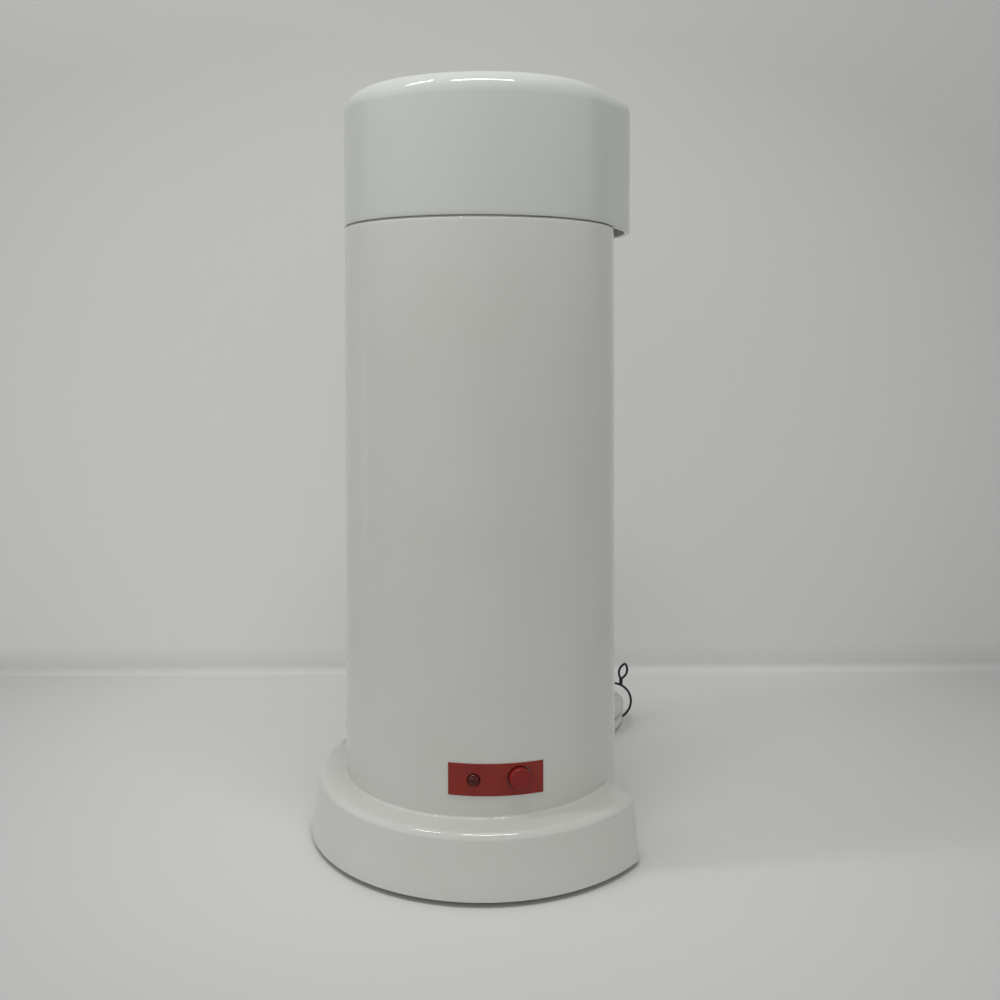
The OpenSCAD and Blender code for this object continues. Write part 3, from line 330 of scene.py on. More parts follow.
def crescent_outline(z, inset):
    """Closed plan of the tower, drawn in by an inset, with its horn tips rounded."""
    ro = tower_rad(z) - inset
    rn = nest_rad(z) + inset
    tip = (ro ** 2 - rn ** 2 + NEST_BACK ** 2) / (2 * NEST_BACK)
    yc = min(horn_y(z) - HORN_CUT - inset, tip - 0.5)
    xo = math.sqrt(ro ** 2 - yc ** 2)
    xi = math.sqrt(rn ** 2 - (NEST_BACK - yc) ** 2)
    width = xo - xi
    do, di = min(1.3, 0.5 * width), min(1.1, 0.4 * width)
    a_end = math.degrees(math.atan2(xo, -yc))
    a = a_end - math.degrees(do / ro)
    b_end = math.degrees(math.atan2(xi, NEST_BACK - yc))
    b = b_end - math.degrees(di / rn)
    half = []
    outer = [(ro * sin(a * i / (OUTER_STEPS / 2)), -ro * cos(a * i / (OUTER_STEPS / 2)))
             for i in range(OUTER_STEPS // 2 + 1)]
    nest = [(rn * sin(b * i / (NEST_STEPS / 2)), NEST_BACK - rn * cos(b * i / (NEST_STEPS / 2)))
            for i in range(NEST_STEPS // 2, -1, -1)]
    corner_o, corner_i = (xo, yc), (xi, yc)
    face_o, face_i = (xo - do, yc), (xi + di, yc)
    half += outer
    half += bezier(outer[-1], corner_o, face_o, CORNER_STEPS)
    half += [face_o, face_i]
    half += bezier(face_i, corner_i, nest[0], CORNER_STEPS)
    half += nest
    mirrored = [(-x, y) for x, y in reversed(half[1:-1])]
    return [place(x, y, z) for x, y in half + mirrored]


TOP_EDGE = 0.45


def tower_levels():
    """(height, inset) up the outside of the tower's wall, over its top and down the inside."""
    levels = [(TOWER_FOOT, 0.4), (TOWER_FOOT + 0.12, 0.12), (TOWER_FOOT + 0.4, 0.0)]
    levels += [(z, 0.0) for z in (20, 30, 36, 39)]
    levels += [(z, 0.0) for z in range(41, 55, 2)]
    levels += [(z, 0.0) for z in (56, 60, 80, 120, 160, 200, 240, 270, TOWER_TOP - 1.5)]
    for x, y in arc(0, 0, TOP_EDGE, 0, 90, 6):
        levels.append((TOWER_TOP - TOP_EDGE + y, TOP_EDGE - x))
    levels.append((TOWER_TOP, TOWER_WALL - 0.4))
    levels.append((TOWER_TOP - 0.3, TOWER_WALL))
    levels += [(z, TOWER_WALL) for z in (270, 200, 120, 60, 54, 47, 41, 30)]
    levels.append((TOWER_FOOT + 0.3, TOWER_WALL))
    levels.append((TOWER_FOOT, TOWER_WALL - 0.3))
    return levels


BUTTON_TURN, LAMP_TURN = PANEL_TURN + PANEL_SPREAD, PANEL_TURN - PANEL_SPREAD
FACE_R = tower_rad(PANEL_Z)


def outwards(turn):
    return Vector((sin(turn), -cos(turn), 0.0))


# turns from the front between which the seam would let light through
SEAM_LEDGES = (44.6, 112), (-112, -99.5)


def add_seam_ledge(bm, first, last):
    """Ledge on top of the tower's wall that closes the seam where the tank's flange doesn't reach."""
    inner, outer = TOWER_R - TOWER_WALL + 0.1, TOWER_R - 1.0
    low, high = TOWER_TOP - 0.2, TOWER_TOP + 0.65
    rows = []
    for i in range(41):
        turn = first + (last - first) * i / 40
        rows.append([place(*front_point(turn, r, z)) for r, z in
                     ((inner, low), (outer, low), (outer, high - 0.2), (outer - 0.2, high), (inner, high))])
    add_loft(bm, rows, cap_first=True, cap_last=True)


def make_tower():
    bm = bmesh.new()
    add_loft(bm, [crescent_outline(z, inset) for z, inset in tower_levels()], wrap=True)
    for first, last in SEAM_LEDGES:
        add_seam_ledge(bm, first, last)
    obj = finish_mesh("tower_wall", bm, "base", BODY, ["tower_shell"])
    holes = []
    for turn, radius in ((BUTTON_TURN, BUTTON_R + 2 * FIT), (LAMP_TURN, LENS_R + FIT)):
        start = place(*front_point(turn, FACE_R - 12, PANEL_Z))
        holes.append(cutter(start, outwards(turn), radius, 24))
    boolean_cut(obj, holes)
    return obj


make_tower()


# ---------------------------------------------------------------- foot ring
RING_LEAN = math.degrees(math.atan((RING_FOOT_R - RING_TOP_R) / (RING_TOP - RING_RIM)))
RING_CENTRE = (RING_TOP_R - RING_ROUND * (1 - sin(RING_LEAN)) / cos(RING_LEAN), RING_TOP - RING_ROUND)
RING_STEPS, END_STEPS = 200, 10


def ring_side(inset, z):
    return RING_TOP_R - inset / cos(RING_LEAN) + (RING_TOP - z) * tan(RING_LEAN)


def end_angle(radius, distance, shift):
    """Angle from the front at which a circle meets an end face."""
    turn = 90 + RING_END_TURN
    return turn - math.degrees(math.acos((distance - shift * sin(turn)) / radius))


def ring_half(z, radius, end_inset, corner, side):
    """Half of the open plan of the ring, from the front to the tower's wall, on one side."""
    shift = side * RING_SHIFT
    rt = tower_rad(z) + FIT
    distance = RING_END - end_inset
    a_out, a_in = end_angle(radius, distance, shift), end_angle(rt, distance, 0.0)
    a = a_out - math.degrees(corner / radius)
    out = (shift + radius * sin(a_out), -radius * cos(a_out))
    first = (shift + radius * sin(a), -radius * cos(a))
    inner = (rt * sin(a_in), -rt * cos(a_in))
    t = min(corner / math.dist(out, inner), 0.45)
    start = (out[0] + (inner[0] - out[0]) * t, out[1] + (inner[1] - out[1]) * t)
    half = [(shift + radius * sin(a * i / (RING_STEPS / 2)), -radius * cos(a * i / (RING_STEPS / 2)))
            for i in range(RING_STEPS // 2 + 1)]
    half += bezier(first, out, start, 8)
    half += [(start[0] + (inner[0] - start[0]) * i / END_STEPS, start[1] + (inner[1] - start[1]) * i / END_STEPS)
             for i in range(END_STEPS + 1)]
    return [(side * x, y, z) for x, y in half]


def ring_outline(z, radius, end_inset, corner):
    """Open plan of the ring, along one end face, round the front and along the other end face."""
    left = ring_half(z, radius, end_inset, corner, -1)
    right = ring_half(z, radius, end_inset, corner, 1)
    return list(reversed(left[1:])) + right


def make_ring():
    loops = []
    corner = 3.0
    for z, inset in ((8.0, RING_WALL), (RING_RIM + 0.6, RING_WALL), (RING_RIM, RING_WALL - 0.5)):
        loops.append(ring_outline(z, ring_side(inset, z), inset, corner - inset * 0.8))
    for x, y in arc(0, 0, 0.5, -90, 0, 4):
        z = RING_RIM + 0.5 + y
        loops.append(ring_outline(z, ring_side(0.5 - x, z), 0.5 - x, corner))
    for z in (8, 14, 20, 24):
        loops.append(ring_outline(z, ring_side(0, z), 0, corner))
    end_round = 2.2
    for x, y in arc(RING_CENTRE[0], RING_CENTRE[1], RING_ROUND, RING_LEAN, 88, 10):
        part = (y - RING_CENTRE[1]) / RING_ROUND
        lift = max(0.0, (y - (RING_TOP - end_round)) / end_round)
        end = end_round * (1 - math.sqrt(max(0.0, 1 - lift * lift)))
        loops.append(ring_outline(y, x, end, corner + 0.4 * part))
    top = loops[-1]
    # land from the top of the rounding to the tower, with a small fillet up the tower's wall
    last = math.radians(end_angle(tower_rad(RING_TOP) + 1.0, RING_END - 1.2, 0.0))

    def wall_loop(radius, z):
        row = []
        for p in top:
            angle = max(-last, min(last, math.atan2(p[0], -p[1])))
            row.append((radius * math.sin(angle), -radius * math.cos(angle), z))
        return row

    fillet = 1.0
    foot = wall_loop(tower_rad(RING_TOP) + fillet, RING_TOP + 0.02)
    for t in (0.12, 0.35, 0.65, 0.9):
        loops.append([tuple(a + (b - a) * t for a, b in zip(p, q)) for p, q in zip(top, foot)])
    for angle in range(0, 91, 15):
        z = RING_TOP + fillet - fillet * cos(angle)
        loops.append(wall_loop(tower_rad(z) + 0.02 + fillet - fillet * sin(angle), z + 0.02))
    bm = bmesh.new()
    add_loft(bm, [[place(*p) for p in loop] for loop in loops], closed=False)
    bmesh.ops.remove_doubles(bm, verts=bm.verts, dist=1e-6)
    return finish_mesh("foot_ring", bm, "base", BODY, ["base_housing"], sharp=50)


make_ring()


# ---------------------------------------------------------------- cap
CAP_ARC, CAP_SIDE = 120, 24


def cap_outline(front, tail):
    """Closed outline of the cap; front and tail are (radius, height) of its two round ends."""
    (fr, fz), (tr, tz) = front, tail
    t = math.degrees(math.asin((fr - tr) / CAP_BACK))
    half = [(fr * sin(a), -fr * cos(a), fz) for a in
            [(90 + t) * i / (CAP_ARC / 2) for i in range(CAP_ARC // 2 + 1)]]
    end, start = (tr * cos(t), CAP_BACK + tr * sin(t), tz), half[-1]
    half += [tuple(p + (q - p) * i / CAP_SIDE for p, q in zip(start, end)) for i in range(1, CAP_SIDE)]
    for i in range(CAP_ARC // 2 + 1):
        a = t + (90 - t) * i / (CAP_ARC / 2)
        k = (abs(cos(a)) ** CAP_TAIL_POWER + abs(sin(a)) ** CAP_TAIL_POWER) ** (-1 / CAP_TAIL_POWER)
        half.append((tr * k * cos(a), CAP_BACK + tr * k * sin(a), tz))
    mirrored = [(-x, y, z) for x, y, z in reversed(half[1:-1])]
    return [place(x, y, CAP_RIM + z * (1 + CAP_RISE * (y + 55) / CAP_H)) for x, y, z in half + mirrored]


def cap_profile(radius, bend, draft, inset):
    """(radius, height) up one round end of the cap and over its rounding."""
    edge = inset + (CAP_H - bend) * tan(draft)
    inner = bend - inset
    slope = math.degrees(math.atan(2 * CROWN / (radius - edge - inner)))
    top = CAP_H - inset
    rows = [(radius - inset - z * tan(draft), z) for z in (2, 8, 16, 24, 32, 40)]
    rows += [(radius - edge - inner + x, top - inner + y) for x, y in arc(0, 0, inner, 0, 90 - slope, 22)]
    return rows


def cap_skin(inset):
    front = cap_profile(CAP_R, CAP_ROUND, DRAFT, inset)
    tail = cap_profile(CAP_TAIL_R, CAP_TAIL_ROUND, CAP_TAIL_DRAFT, inset)
    loops = [cap_outline(f, t) for f, t in zip(front, tail)]
    (fr, fz), (tr, tz) = front[-1], tail[-1]
    for k in range(1, 16):
        s = 1 - k / 15.5
        rise = CROWN * (1 - s * s)
        loops.append(cap_outline((fr * s, fz + rise), (tr * s, tz + rise)))
    return loops


def make_cap():
    outer, inner = cap_skin(0.0), cap_skin(CAP_WALL)
    rim = []
    edge, drop = 0.35, 0.2
    for x, y in arc(0, 0, edge, 0, -90, 5):
        rim.append(cap_outline((CAP_R - edge + x, edge + y - drop), (CAP_TAIL_R - edge + x, edge + y - drop)))
    for x, y in arc(0, 0, edge, -90, -180, 5):
        i = CAP_WALL - edge
        rim.append(cap_outline((CAP_R - i + x, edge + y - drop), (CAP_TAIL_R - i + x, edge + y - drop)))
    bm = bmesh.new()
    loops = list(reversed(outer)) + rim + inner
    add_loft(bm, loops, cap_first=True, cap_last=True)
    # hinge ears inside the rear wall
    tail = math.sqrt((CAP_TAIL_R - CAP_WALL / 2) ** 2 - (KNUCKLE_HALF + EAR_W) ** 2) + CAP_BACK - PIN_Y
    for side in (-1, 1):
        x0 = side * (KNUCKLE_HALF + 2 * FIT)
        x1 = x0 + side * EAR_W
        profile = [(y, z) for y, z in arc(0, 0, KNUCKLE_R, 180, 270, 12)]
        profile += [(tail, -KNUCKLE_R), (tail, EAR_TOP)]
        profile += [(-KNUCKLE_R + 1.5, EAR_TOP), (-KNUCKLE_R, EAR_TOP - 1.5)]
        loops = []
        for x, shrink in ((x0, 0.3), (x0 + side * 0.5, 0.0), (x1 - side * 0.5, 0.0), (x1, 0.3)):
            loops.append([place(x, PIN_Y + y + (shrink if y < 0 else 0),
                                PIN_Z + z + (shrink if z < 0 else -shrink)) for y, z in profile])
        add_loft(bm, loops, cap_first=True, cap_last=True)
    return finish_mesh("cap_shell", bm, "lid", CAP, ["cap"], sharp=45)


make_cap()


# ---------------------------------------------------------------- panel, lamp lens and button
def panel_point(along, z, out):
    """A point at an arc length from the panel's middle, a height and a distance off the tower's wall."""
    turn = PANEL_TURN + math.degrees(along / FACE_R)
    return place(*front_point(turn, tower_rad(z) + out, z))


def make_panel():
    bm = bmesh.new()
    half_w = FACE_R * math.radians(PANEL_HALF)
    half_h = PANEL_H / 2
    spread = FACE_R * math.radians(PANEL_SPREAD)
    cell = 6.4
    rows = 16
    front = PANEL_T

    def put(along, dz, out=front):
        return bm.verts.new(panel_point(along, PANEL_Z + dz, out))

    def lean(x):
        return PANEL_DROP + PANEL_TILT * x

    def band(x0, x1, columns):
        grid = []
        for i in range(columns + 1):
            x = x0 + (x1 - x0) * i / columns
            grid.append([put(x, lean(x) - half_h + PANEL_H * k / rows) for k in range(rows + 1)])
        for i in range(columns):
            for k in range(rows):
                bm.faces.new((grid[i][k], grid[i + 1][k], grid[i + 1][k + 1], grid[i][k + 1]))

    def holed(xc, radius, w):
        side = []
        for k in range(rows):
            side.append((w, -half_h + PANEL_H * k / rows))
        for k in range(rows):
            side.append((w - 2 * w * k / rows, half_h))
        for k in range(rows):
            side.append((-w, half_h - PANEL_H * k / rows))
        for k in range(rows):
            side.append((-w + 2 * w * k / rows, -half_h))
        side = [(x, y + lean(xc + x)) for x, y in side]
        count = len(side)
        loops = []
        # the hole's own points, turned to match those of the cell's sides
        angles = [math.atan2(y, x) for x, y in side]
        mouth = radius + 0.14
        for out, r in ((-0.3, radius), (front - 0.12, radius), (front - 0.03, radius + 0.04), (front, mouth)):
            loops.append([(xc + r * math.cos(a), r * math.sin(a), out) for a in angles])
        for t in (0.15, 0.35, 0.6, 0.8, 1.0):
            loops.append([(xc + mouth * math.cos(a) * (1 - t) + x * t,
                           mouth * math.sin(a) * (1 - t) + y * t, front)
                          for a, (x, y) in zip(angles, side)])
        rows_v = [[put(*p) for p in loop] for loop in loops]
        for i in range(len(rows_v) - 1):
            for k in range(count):
                m = (k + 1) % count
                bm.faces.new((rows_v[i][k], rows_v[i][m], rows_v[i + 1][m], rows_v[i + 1][k]))

    band(-half_w, -spread - cell, 6)
    holed(-spread, LENS_R + FIT, cell)
    band(-spread + cell, spread - cell, 8)
    holed(spread, BUTTON_R + 3 * FIT, cell)
    band(spread + cell, half_w, 6)
    # edge of the strip, rounded and carried down to the wall
    edge = []
    for i in range(60):
        edge.append((-half_w + 2 * half_w * i / 60, -half_h))
    for i in range(rows):
        edge.append((half_w, -half_h + PANEL_H * i / rows))
    for i in range(60):
        edge.append((half_w - 2 * half_w * i / 60, half_h))
    for i in range(rows):
        edge.append((-half_w, half_h - PANEL_H * i / rows))
    skirt = []
    for out, grow in ((front, 0.0), (front - 0.05, 0.09), (front - 0.15, 0.13), (0.0, 0.13)):
        row = []
        for x, y in edge:
            gx = grow if abs(x - half_w) < 1e-6 else -grow if abs(x + half_w) < 1e-6 else 0.0
            gy = grow if abs(y - half_h) < 1e-6 else -grow if abs(y + half_h) < 1e-6 else 0.0
            row.append(panel_point(x + gx, PANEL_Z + y + gy + lean(x), out))
        skirt.append(row)
    add_loft(bm, skirt)
    bmesh.ops.remove_doubles(bm, verts=bm.verts, dist=2e-6)
    return finish_mesh("panel_strip", bm, "base", RED, ["control_panel"], sharp=30)


make_panel()


def make_lens():
    bm = bmesh.new()
    axis = outwards(LAMP_TURN)
    start = place(*front_point(LAMP_TURN, FACE_R - 4.4, PANEL_Z))
    base = 4.4 + LENS_PROUD
    dome = 1.9
    profile = [(0, LENS_R + 1.1), (1.2, LENS_R + 1.1), (1.2, LENS_R)]
    profile += [(base - dome + dome * sin(a), LENS_R * cos(a)) for a in range(0, 90, 6)]
    profile += [(base, 0.0)]
    add_revolve(bm, start, axis, profile, 64)
    return finish_mesh("lamp_dome", bm, "base", LENS, ["lamp_lens"], sharp=60)


def make_button():
    bm = bmesh.new()
    axis = outwards(BUTTON_TURN)
    start = place(*front_point(BUTTON_TURN, FACE_R - 4.6, PANEL_Z))
    top = 4.6 + BUTTON_PROUD
    edge = 0.7
    profile = [(0, BUTTON_R + 1.1), (1.4, BUTTON_R + 1.1), (1.4, BUTTON_R)]
    rim = top - 0.45
    profile += [(rim - edge + edge * sin(a), BUTTON_R - edge + edge * cos(a)) for a in range(0, 91, 10)]
    profile += [(rim + 0.4 * (1 - (r / (BUTTON_R - edge)) ** 2), r) for r in (3.6, 2.8, 2.0, 1.2, 0.5)]
    profile += [(top - 0.05, 0.0)]
    add_revolve(bm, start, axis, profile, 72)
    return finish_mesh("button_cap", bm, "button", BUTTON, ["power_button"], sharp=50)


make_lens()
make_button()


# ---------------------------------------------------------------- cord
BOOT_LEN, EXIT_ALONG, EXIT_Z = 24.0, 59.0, 14.0


def exit_point(out):
    """A point at a distance out of the left end wall, on the line of the cord's way out."""
    turn = 180 - RING_END_TURN
    return ((RING_END + out) * cos(turn) - EXIT_ALONG * sin(turn),
            (RING_END + out) * sin(turn) + EXIT_ALONG * cos(turn) + AXIS_Y, EXIT_Z)


RUN = [
    exit_point(BOOT_LEN), exit_point(BOOT_LEN + 6), (-92.2, 21.4, 13.4), (-95.2, 29.2, 11), (-97, 37.5, 8),
    (-98, 45.5, 5.5), (-98, 54, 3.6), (-97, 62, 3), (-94, 70, 3), (-89.5, 77, 3), (-83.5, 83.5, 3),
    (-76, 89, 3), (-67.5, 93.5, 3), (-58, 96.5, 3), (-48, 98.3, 3), (-38, 99.2, 3), (-28, 99.5, 3),
    (-17.5, 99.5, 3), (-11.5, 99.5, 3)
]
TAIL = [
    (-11.5, 175.5, 9.6), (-17.5, 175.5, 9.6), (-24, 176, 8.6), (-31, 176.8, 7), (-38, 177, 6.6),
    (-44, 177, 6.6)
]
COIL_CENTRE, COIL_R, COIL_PITCH, COIL_TURNS = (-11.5, 137.5), 38.0, 6.6, 3.5
TIE_TURN, TIE_LIFT = 24.0, 2.5


def coil_point(turn):
    a = 360 * turn - 90
    mid = COIL_TURNS / 2
    radius = COIL_R - COIL_PITCH * (mid - abs(turn - mid))
    t = min(max((turn - mid) * 2 + 0.5, 0), 1)
    rise = COIL_PITCH * t * t * (3 - 2 * t)
    gap = abs(a - TIE_TURN - 360 * round((a - TIE_TURN) / 360))
    bump = TIE_LIFT * cos(1.5 * min(gap, 60)) ** 2
    return (COIL_CENTRE[0] + radius * cos(a), COIL_CENTRE[1] + radius * sin(a), CORD_D / 2 + rise + bump)


def smooth_path(points, step):
    """Points of a Catmull-Rom curve through the given ones, about a step apart."""
    result = []
    for i in range(len(points) - 1):
        p0, p1, p2, p3 = (Vector(points[max(0, min(len(points) - 1, k))]) for k in (i - 1, i, i + 1, i + 2))
        n = max(1, round((p2 - p1).length / step))
        for k in range(n):
            t = k / n
            result.append(0.5 * ((2 * p1) + (p2 - p0) * t + (2 * p0 - 5 * p1 + 4 * p2 - p3) * t * t
                                 + (3 * p1 - p0 - 3 * p2 + p3) * t ** 3))
    result.append(Vector(points[-1]))
    return result


def sweep_tube(bm, path, radius, count=16):
    up = Vector((0, 0, 1))
    loops = []
    for i, p in enumerate(path):
        ahead = (path[min(i + 1, len(path) - 1)] - path[max(i - 1, 0)]).normalized()
        side = ahead.cross(up).normalized()
        top = side.cross(ahead)
        loops.append([p + radius * (math.cos(2 * math.pi * k / count) * side
                                    + math.sin(2 * math.pi * k / count) * top) for k in range(count)])
    add_loft(bm, loops, cap_first=True, cap_last=True)


def make_cord():
    coil = [coil_point(COIL_TURNS * i / 126) for i in range(127)]
    route = RUN[:-1] + coil + TAIL[1:]
    path = [(p + Vector((AXIS_X, 0, 0))) * MM for p in smooth_path(route, 3.0)]
    bm = bmesh.new()
    sweep_tube(bm, path, CORD_D / 2 * MM)
    obj = finish_mesh("mains_cord", bm, "base", SHEATH, ["cord_run", "cord_coil", "cord_tail"],
                      sharp=60)
    length = sum((a - b).length for a, b in zip(path, path[1:]))
    return obj, path, length


cord, cord_path, cord_length = make_cord()
tuple(cord_path[0])
[tuple(p) for p in cord_path]

# ---------------------------------------------------------------- carried-over CAD nodes
CAD_MATERIALS = {
    "base_plate": GREY, "rubber_feet": RUBBER, "base_screws": STEEL, "reservoir_tank": NATURAL,
    "tank_gasket": RUBBER, "head_tray": BODY, "tray_screws": STEEL, "hinge_pin": STEEL,
    "riser_tube": NATURAL, "spout_tube": NATURAL, "shower_head": NATURAL, "heater_tube": ALUMINIUM,
    "heater_element": HEATER, "heater_brackets": ALUMINIUM, "bracket_screws": STEEL, "thermostat": DARK,
    "thermal_fuse": CERAMIC, "upper_inlet_hose": SILICONE, "lower_inlet_hose": SILICONE,
    "outlet_hose": SILICONE, "hose_clamps": STEEL, "valve_body": NATURAL, "valve_ball": SILICONE,
    "indicator_lamp": CERAMIC, "button_spring": STEEL, "switch_plunger": DARK, "switch_body": DARK,
    "lead_live": COATED, "lead_return": SHEATH, "lead_heater": SHEATH, "strain_relief": SHEATH,
    "plug_body": SHEATH, "plug_blades": STEEL, "cord_tie": COATED,
}
for name, material in CAD_MATERIALS.items():
    data = nodes[name].data
    if not data.materials:
        data.materials.append(material)
    for index in range(len(data.materials)):
        data.materials[index] = material


# ---------------------------------------------------------------- floor, backdrop and light
def stage_material(name, colour):
    mat, tree, bsdf = new_material(name)
    tone = noise_node(tree, 3.0, 2.0, 0.5)
    shade = tuple(c * 0.98 for c in colour[:3]) + (1.0,)
    # painted light and shade kept on the stage's points scales its colour, lighter and darker by place
    painted_light_and_shade = tree.nodes.new("ShaderNodeAttribute")
    painted_light_and_shade.attribute_name = "painted_light_and_shade"
    scale = tree.nodes.new("ShaderNodeVectorMath")
    scale.operation = "SCALE"
    tree.links.new(mix_colour(tree, tone.outputs["Fac"], shade, colour), scale.inputs[0])
    tree.links.new(painted_light_and_shade.outputs["Fac"], scale.inputs["Scale"])
    tree.links.new(scale.outputs["Vector"], bsdf.inputs["Base Color"])
    bsdf.inputs["Roughness"].default_value = 0.6
    bsdf.inputs["Specular IOR Level"].default_value = 0.3
    # the stage has one side, so that its wall doesn't hide the machine in views from behind
    output = bsdf.outputs["BSDF"].links[0].to_node
    behind = combine(tree, "MULTIPLY", tree.nodes.new("ShaderNodeNewGeometry").outputs["Backfacing"],
                     tree.nodes.new("ShaderNodeLightPath").outputs["Is Camera Ray"])
    one_sided = tree.nodes.new("ShaderNodeMixShader")
    tree.links.new(behind, one_sided.inputs["Fac"])
    tree.links.new(bsdf.outputs["BSDF"], one_sided.inputs[1])
    tree.links.new(tree.nodes.new("ShaderNodeBsdfTransparent").outputs["BSDF"], one_sided.inputs[2])
    tree.links.new(one_sided.outputs["Shader"], output.inputs["Surface"])
    return mat


# sizes of the stage in metres: its wall behind the tower's axis, the bend at the wall's foot, its half width
STAGE_BACK, STAGE_BEND, STAGE_SIDE, STAGE_FRONT = 0.231, 0.006, 0.9, 1.2
# what the camera sees of it: half width, depth behind the axis and height, and where the painted light and shade
# stop changing
SEEN_SIDE, SEEN_FRONT, SEEN_DEPTH, SEEN_HEIGHT = 0.35, -0.2, 0.24, 0.45
# painted light: the stage is painted lighter far out at the sides, beyond this half width, by these shares to
# the left and to the right
PAINTED_LIGHT_FROM, PAINTED_LIGHT_LEFT, PAINTED_LIGHT_RIGHT = 0.36, 0.65, 0.35
# painted light and shade over the floor and the wall, each a product of smooth surfaces of the second degree
FLOOR_PAINTED_LIGHT = ((1.141, -0.179, 0.521, -3.076, -0.398, -2.111), (0.969, 0.344, 0.184, 0.542, 0.331, -0.181))
WALL_PAINTED_LIGHT = ((1.232, -0.189, 0.494, -1.985, 0.0, -2.296), (0.914, 0.115, -0.104, 0.872, 0.256, -0.676))
# darkest the painted shade may go, painted shade along the bend at the wall's foot and the bend's height,
# painted shade growing to the wall's right
DARKEST_PAINTED_SHADE, BEND_PAINTED_SHADE, BEND_HEIGHT, WALL_RIGHT_PAINTED_SHADE = 0.75, 0.11, 0.010, 0.25


def painted_light_surfaces(pairs, a, b):
    """Painted light and shade, as a product of smooth surfaces of the second degree in a and b."""
    tone = 1.0
    for c in pairs:
        tone *= c[0] + c[1] * a + c[2] * b + c[3] * a * a + c[4] * a * b + c[5] * b * b
    return tone


def smooth(t):
    return t * t * (3 - 2 * t)


def stage_painted_light(x, depth, height):
    """Painted light and shade of the stage: lightest behind the machine, painted shade towards the corners, to
    the wall's right and along the bend at the wall's foot, painted light again far out at the sides.
    """
    far = max(0.0, min(1.0, (abs(x) - PAINTED_LIGHT_FROM) / (STAGE_SIDE - PAINTED_LIGHT_FROM)))
    painted_light_far = 1 + (PAINTED_LIGHT_LEFT if x < 0 else PAINTED_LIGHT_RIGHT) * smooth(far)
    x, height = max(-SEEN_SIDE, min(SEEN_SIDE, x)), min(height, SEEN_HEIGHT)
    floor = painted_light_surfaces(FLOOR_PAINTED_LIGHT, x, max(SEEN_FRONT, min(SEEN_DEPTH, depth)))
    # painted shade growing towards the wall's right
    wall = painted_light_surfaces(WALL_PAINTED_LIGHT, x, height) * (1 - WALL_RIGHT_PAINTED_SHADE * max(0.0, x))
    up = max(0.0, min(1.0, height / BEND_HEIGHT))
    # painted shade along the bend where the floor turns up into the wall
    return max(DARKEST_PAINTED_SHADE, floor + (wall - floor) * smooth(up)) * painted_light_far * (1 - BEND_PAINTED_SHADE * sin(180 * up))


def make_stage():
    bm = bmesh.new()
    centre = place(0, 0, 0)
    outer = [0.5, 0.6, 0.7, 0.8, STAGE_SIDE]
    xs = [-x for x in reversed(outer)] + [0.02 * i for i in range(-22, 23)] + outer
    profile = [(-STAGE_FRONT, 0.0), (-0.8, 0.0)] + [(-0.48 + 0.02 * i, 0.0) for i in range(36)]
    profile += [(STAGE_BACK - STAGE_BEND * (1 - sin(a)), STAGE_BEND * (1 - cos(a))) for a in range(0, 91, 10)]
    profile += [(STAGE_BACK, 0.02 + 0.02 * i) for i in range(28)] + [(STAGE_BACK, 0.9)]
    loops = [[centre + RIGHT * x + AHEAD * d + Vector((0, 0, h)) for x in xs] for d, h in profile]
    add_loft(bm, loops, closed=False)
    bmesh.ops.recalc_face_normals(bm, faces=bm.faces)
    if sum(face.normal.z for face in bm.faces) < 0:
        bmesh.ops.reverse_faces(bm, faces=bm.faces)
    mesh = bpy.data.meshes.new("stage")
    bm.to_mesh(mesh)
    bm.free()
    mesh.shade_smooth()
    # painted light and shade of the stage, kept on its points
    painted_light_and_shade = mesh.attributes.new("painted_light_and_shade", "FLOAT", "POINT")
    for vertex in mesh.vertices:
        offset = vertex.co - centre
        painted_light_and_shade.data[vertex.index].value = stage_painted_light(offset.dot(RIGHT), offset.dot(AHEAD), vertex.co.z)
    obj = bpy.data.objects.new("stage", mesh)
    bpy.context.scene.collection.objects.link(obj)
    obj.data.materials.append(stage_material("stage_painted_light", srgb(205, 206, 204)))


make_stage()


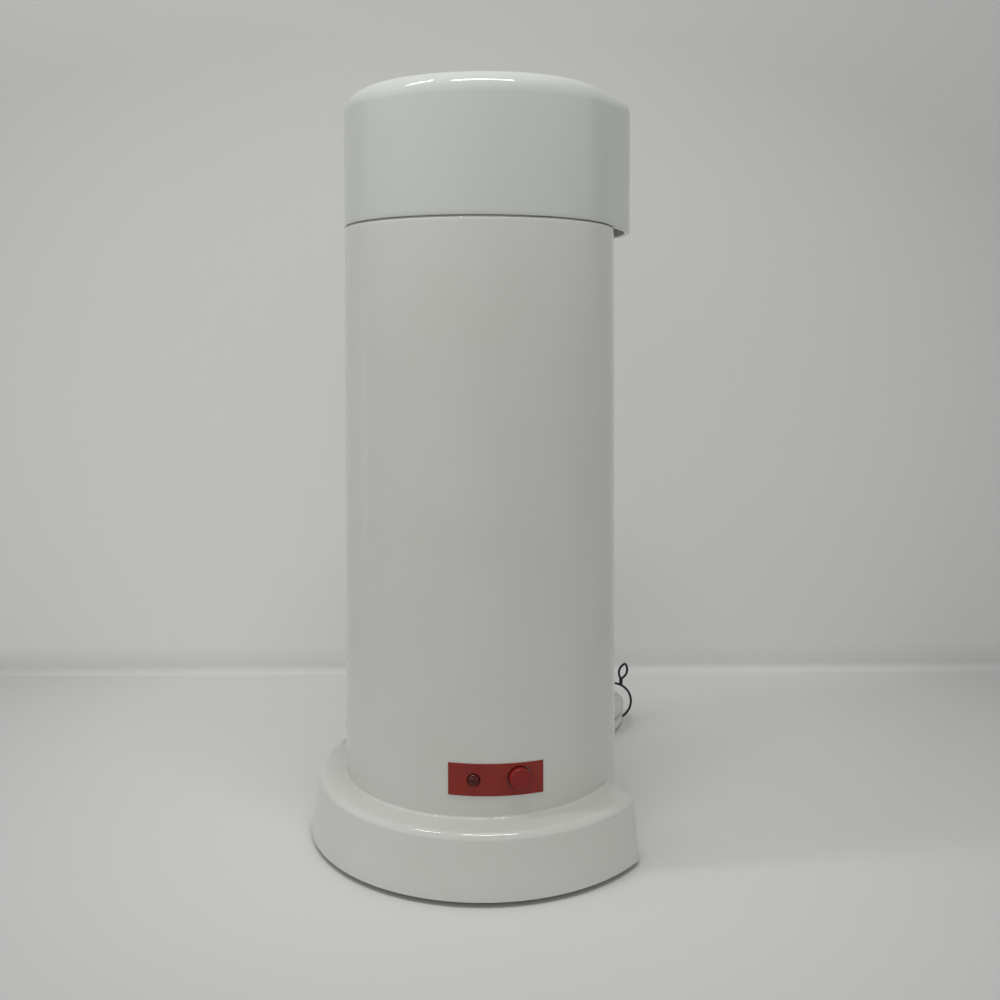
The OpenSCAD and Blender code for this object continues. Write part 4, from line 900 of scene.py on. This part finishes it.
def ceiling_lamp(name, side_a, side_b, forward, height, width, power):
    """A lamp facing down, from one distance to the right of the camera's line to another, in metres."""
    data = bpy.data.lights.new(name, "AREA")
    data.shape = "RECTANGLE"
    data.size, data.size_y = side_b - side_a, width
    data.energy = power
    obj = bpy.data.objects.new(name, data)
    bpy.context.scene.collection.objects.link(obj)
    obj.location = place(0, 0, 0) + RIGHT * (side_a + side_b) / 2 - AHEAD * forward + Vector((0, 0, height))
    obj.rotation_euler = (0, 0, math.radians(CAMERA_TURN))


ceiling_lamp("strip_front", -0.15, 0.195, 0.22, 0.84, 0.04, 2.0)
ceiling_lamp("strip_left", -0.47, -0.225, 0.10, 0.84, 0.03, 1.1)
ceiling_lamp("box_top", -0.40, 0.40, 0.10, 0.95, 0.55, 0.4)

# strength of the world: the same all round, and what is added up, to the left and towards the camera
WORLD_EVEN, WORLD_UP, WORLD_LEFT, WORLD_NEAR = 2.12, -2.07, 0.22, -0.32
# share of it that is left at the horizon and behind the machine
WORLD_HORIZON, WORLD_BACK = 0.25, 0.6


def make_world():
    """Soft light of a room by direction: dimmer overhead, at the horizon and behind the machine."""
    world = bpy.data.worlds.new("world")
    bpy.context.scene.world = world
    world.use_nodes = True
    tree = world.node_tree
    background = tree.nodes["Background"]
    background.inputs["Color"].default_value = (1, 1, 1, 1)
    coord = tree.nodes.new("ShaderNodeTexCoord")

    def along(direction, low, high):
        """A value that goes evenly from low, against the direction, to high, along it."""
        dot = tree.nodes.new("ShaderNodeVectorMath")
        dot.operation = "DOT_PRODUCT"
        dot.inputs[1].default_value = direction
        tree.links.new(coord.outputs["Generated"], dot.inputs[0])
        return ramp(tree, dot.outputs["Value"], -1.0, 1.0, low, high)

    up = Vector((0, 0, 1))
    total = combine(tree, "ADD", along(up, -WORLD_UP, WORLD_UP), along(-RIGHT, -WORLD_LEFT, WORLD_LEFT))
    total = combine(tree, "ADD", total, along(-AHEAD, WORLD_EVEN - WORLD_NEAR, WORLD_EVEN + WORLD_NEAR))
    low = ramp(tree, along(up, -1.0, 1.0), 0.0, 0.35, WORLD_HORIZON, 1.0)
    back = ramp(tree, along(-AHEAD, -1.0, 1.0), -0.35, 0.45, WORLD_BACK, 1.0)
    total = combine(tree, "MULTIPLY", combine(tree, "MULTIPLY", total, low), back)
    tree.links.new(total, background.inputs["Strength"])


make_world()

bpy.context.scene.view_settings.view_transform = "Standard"
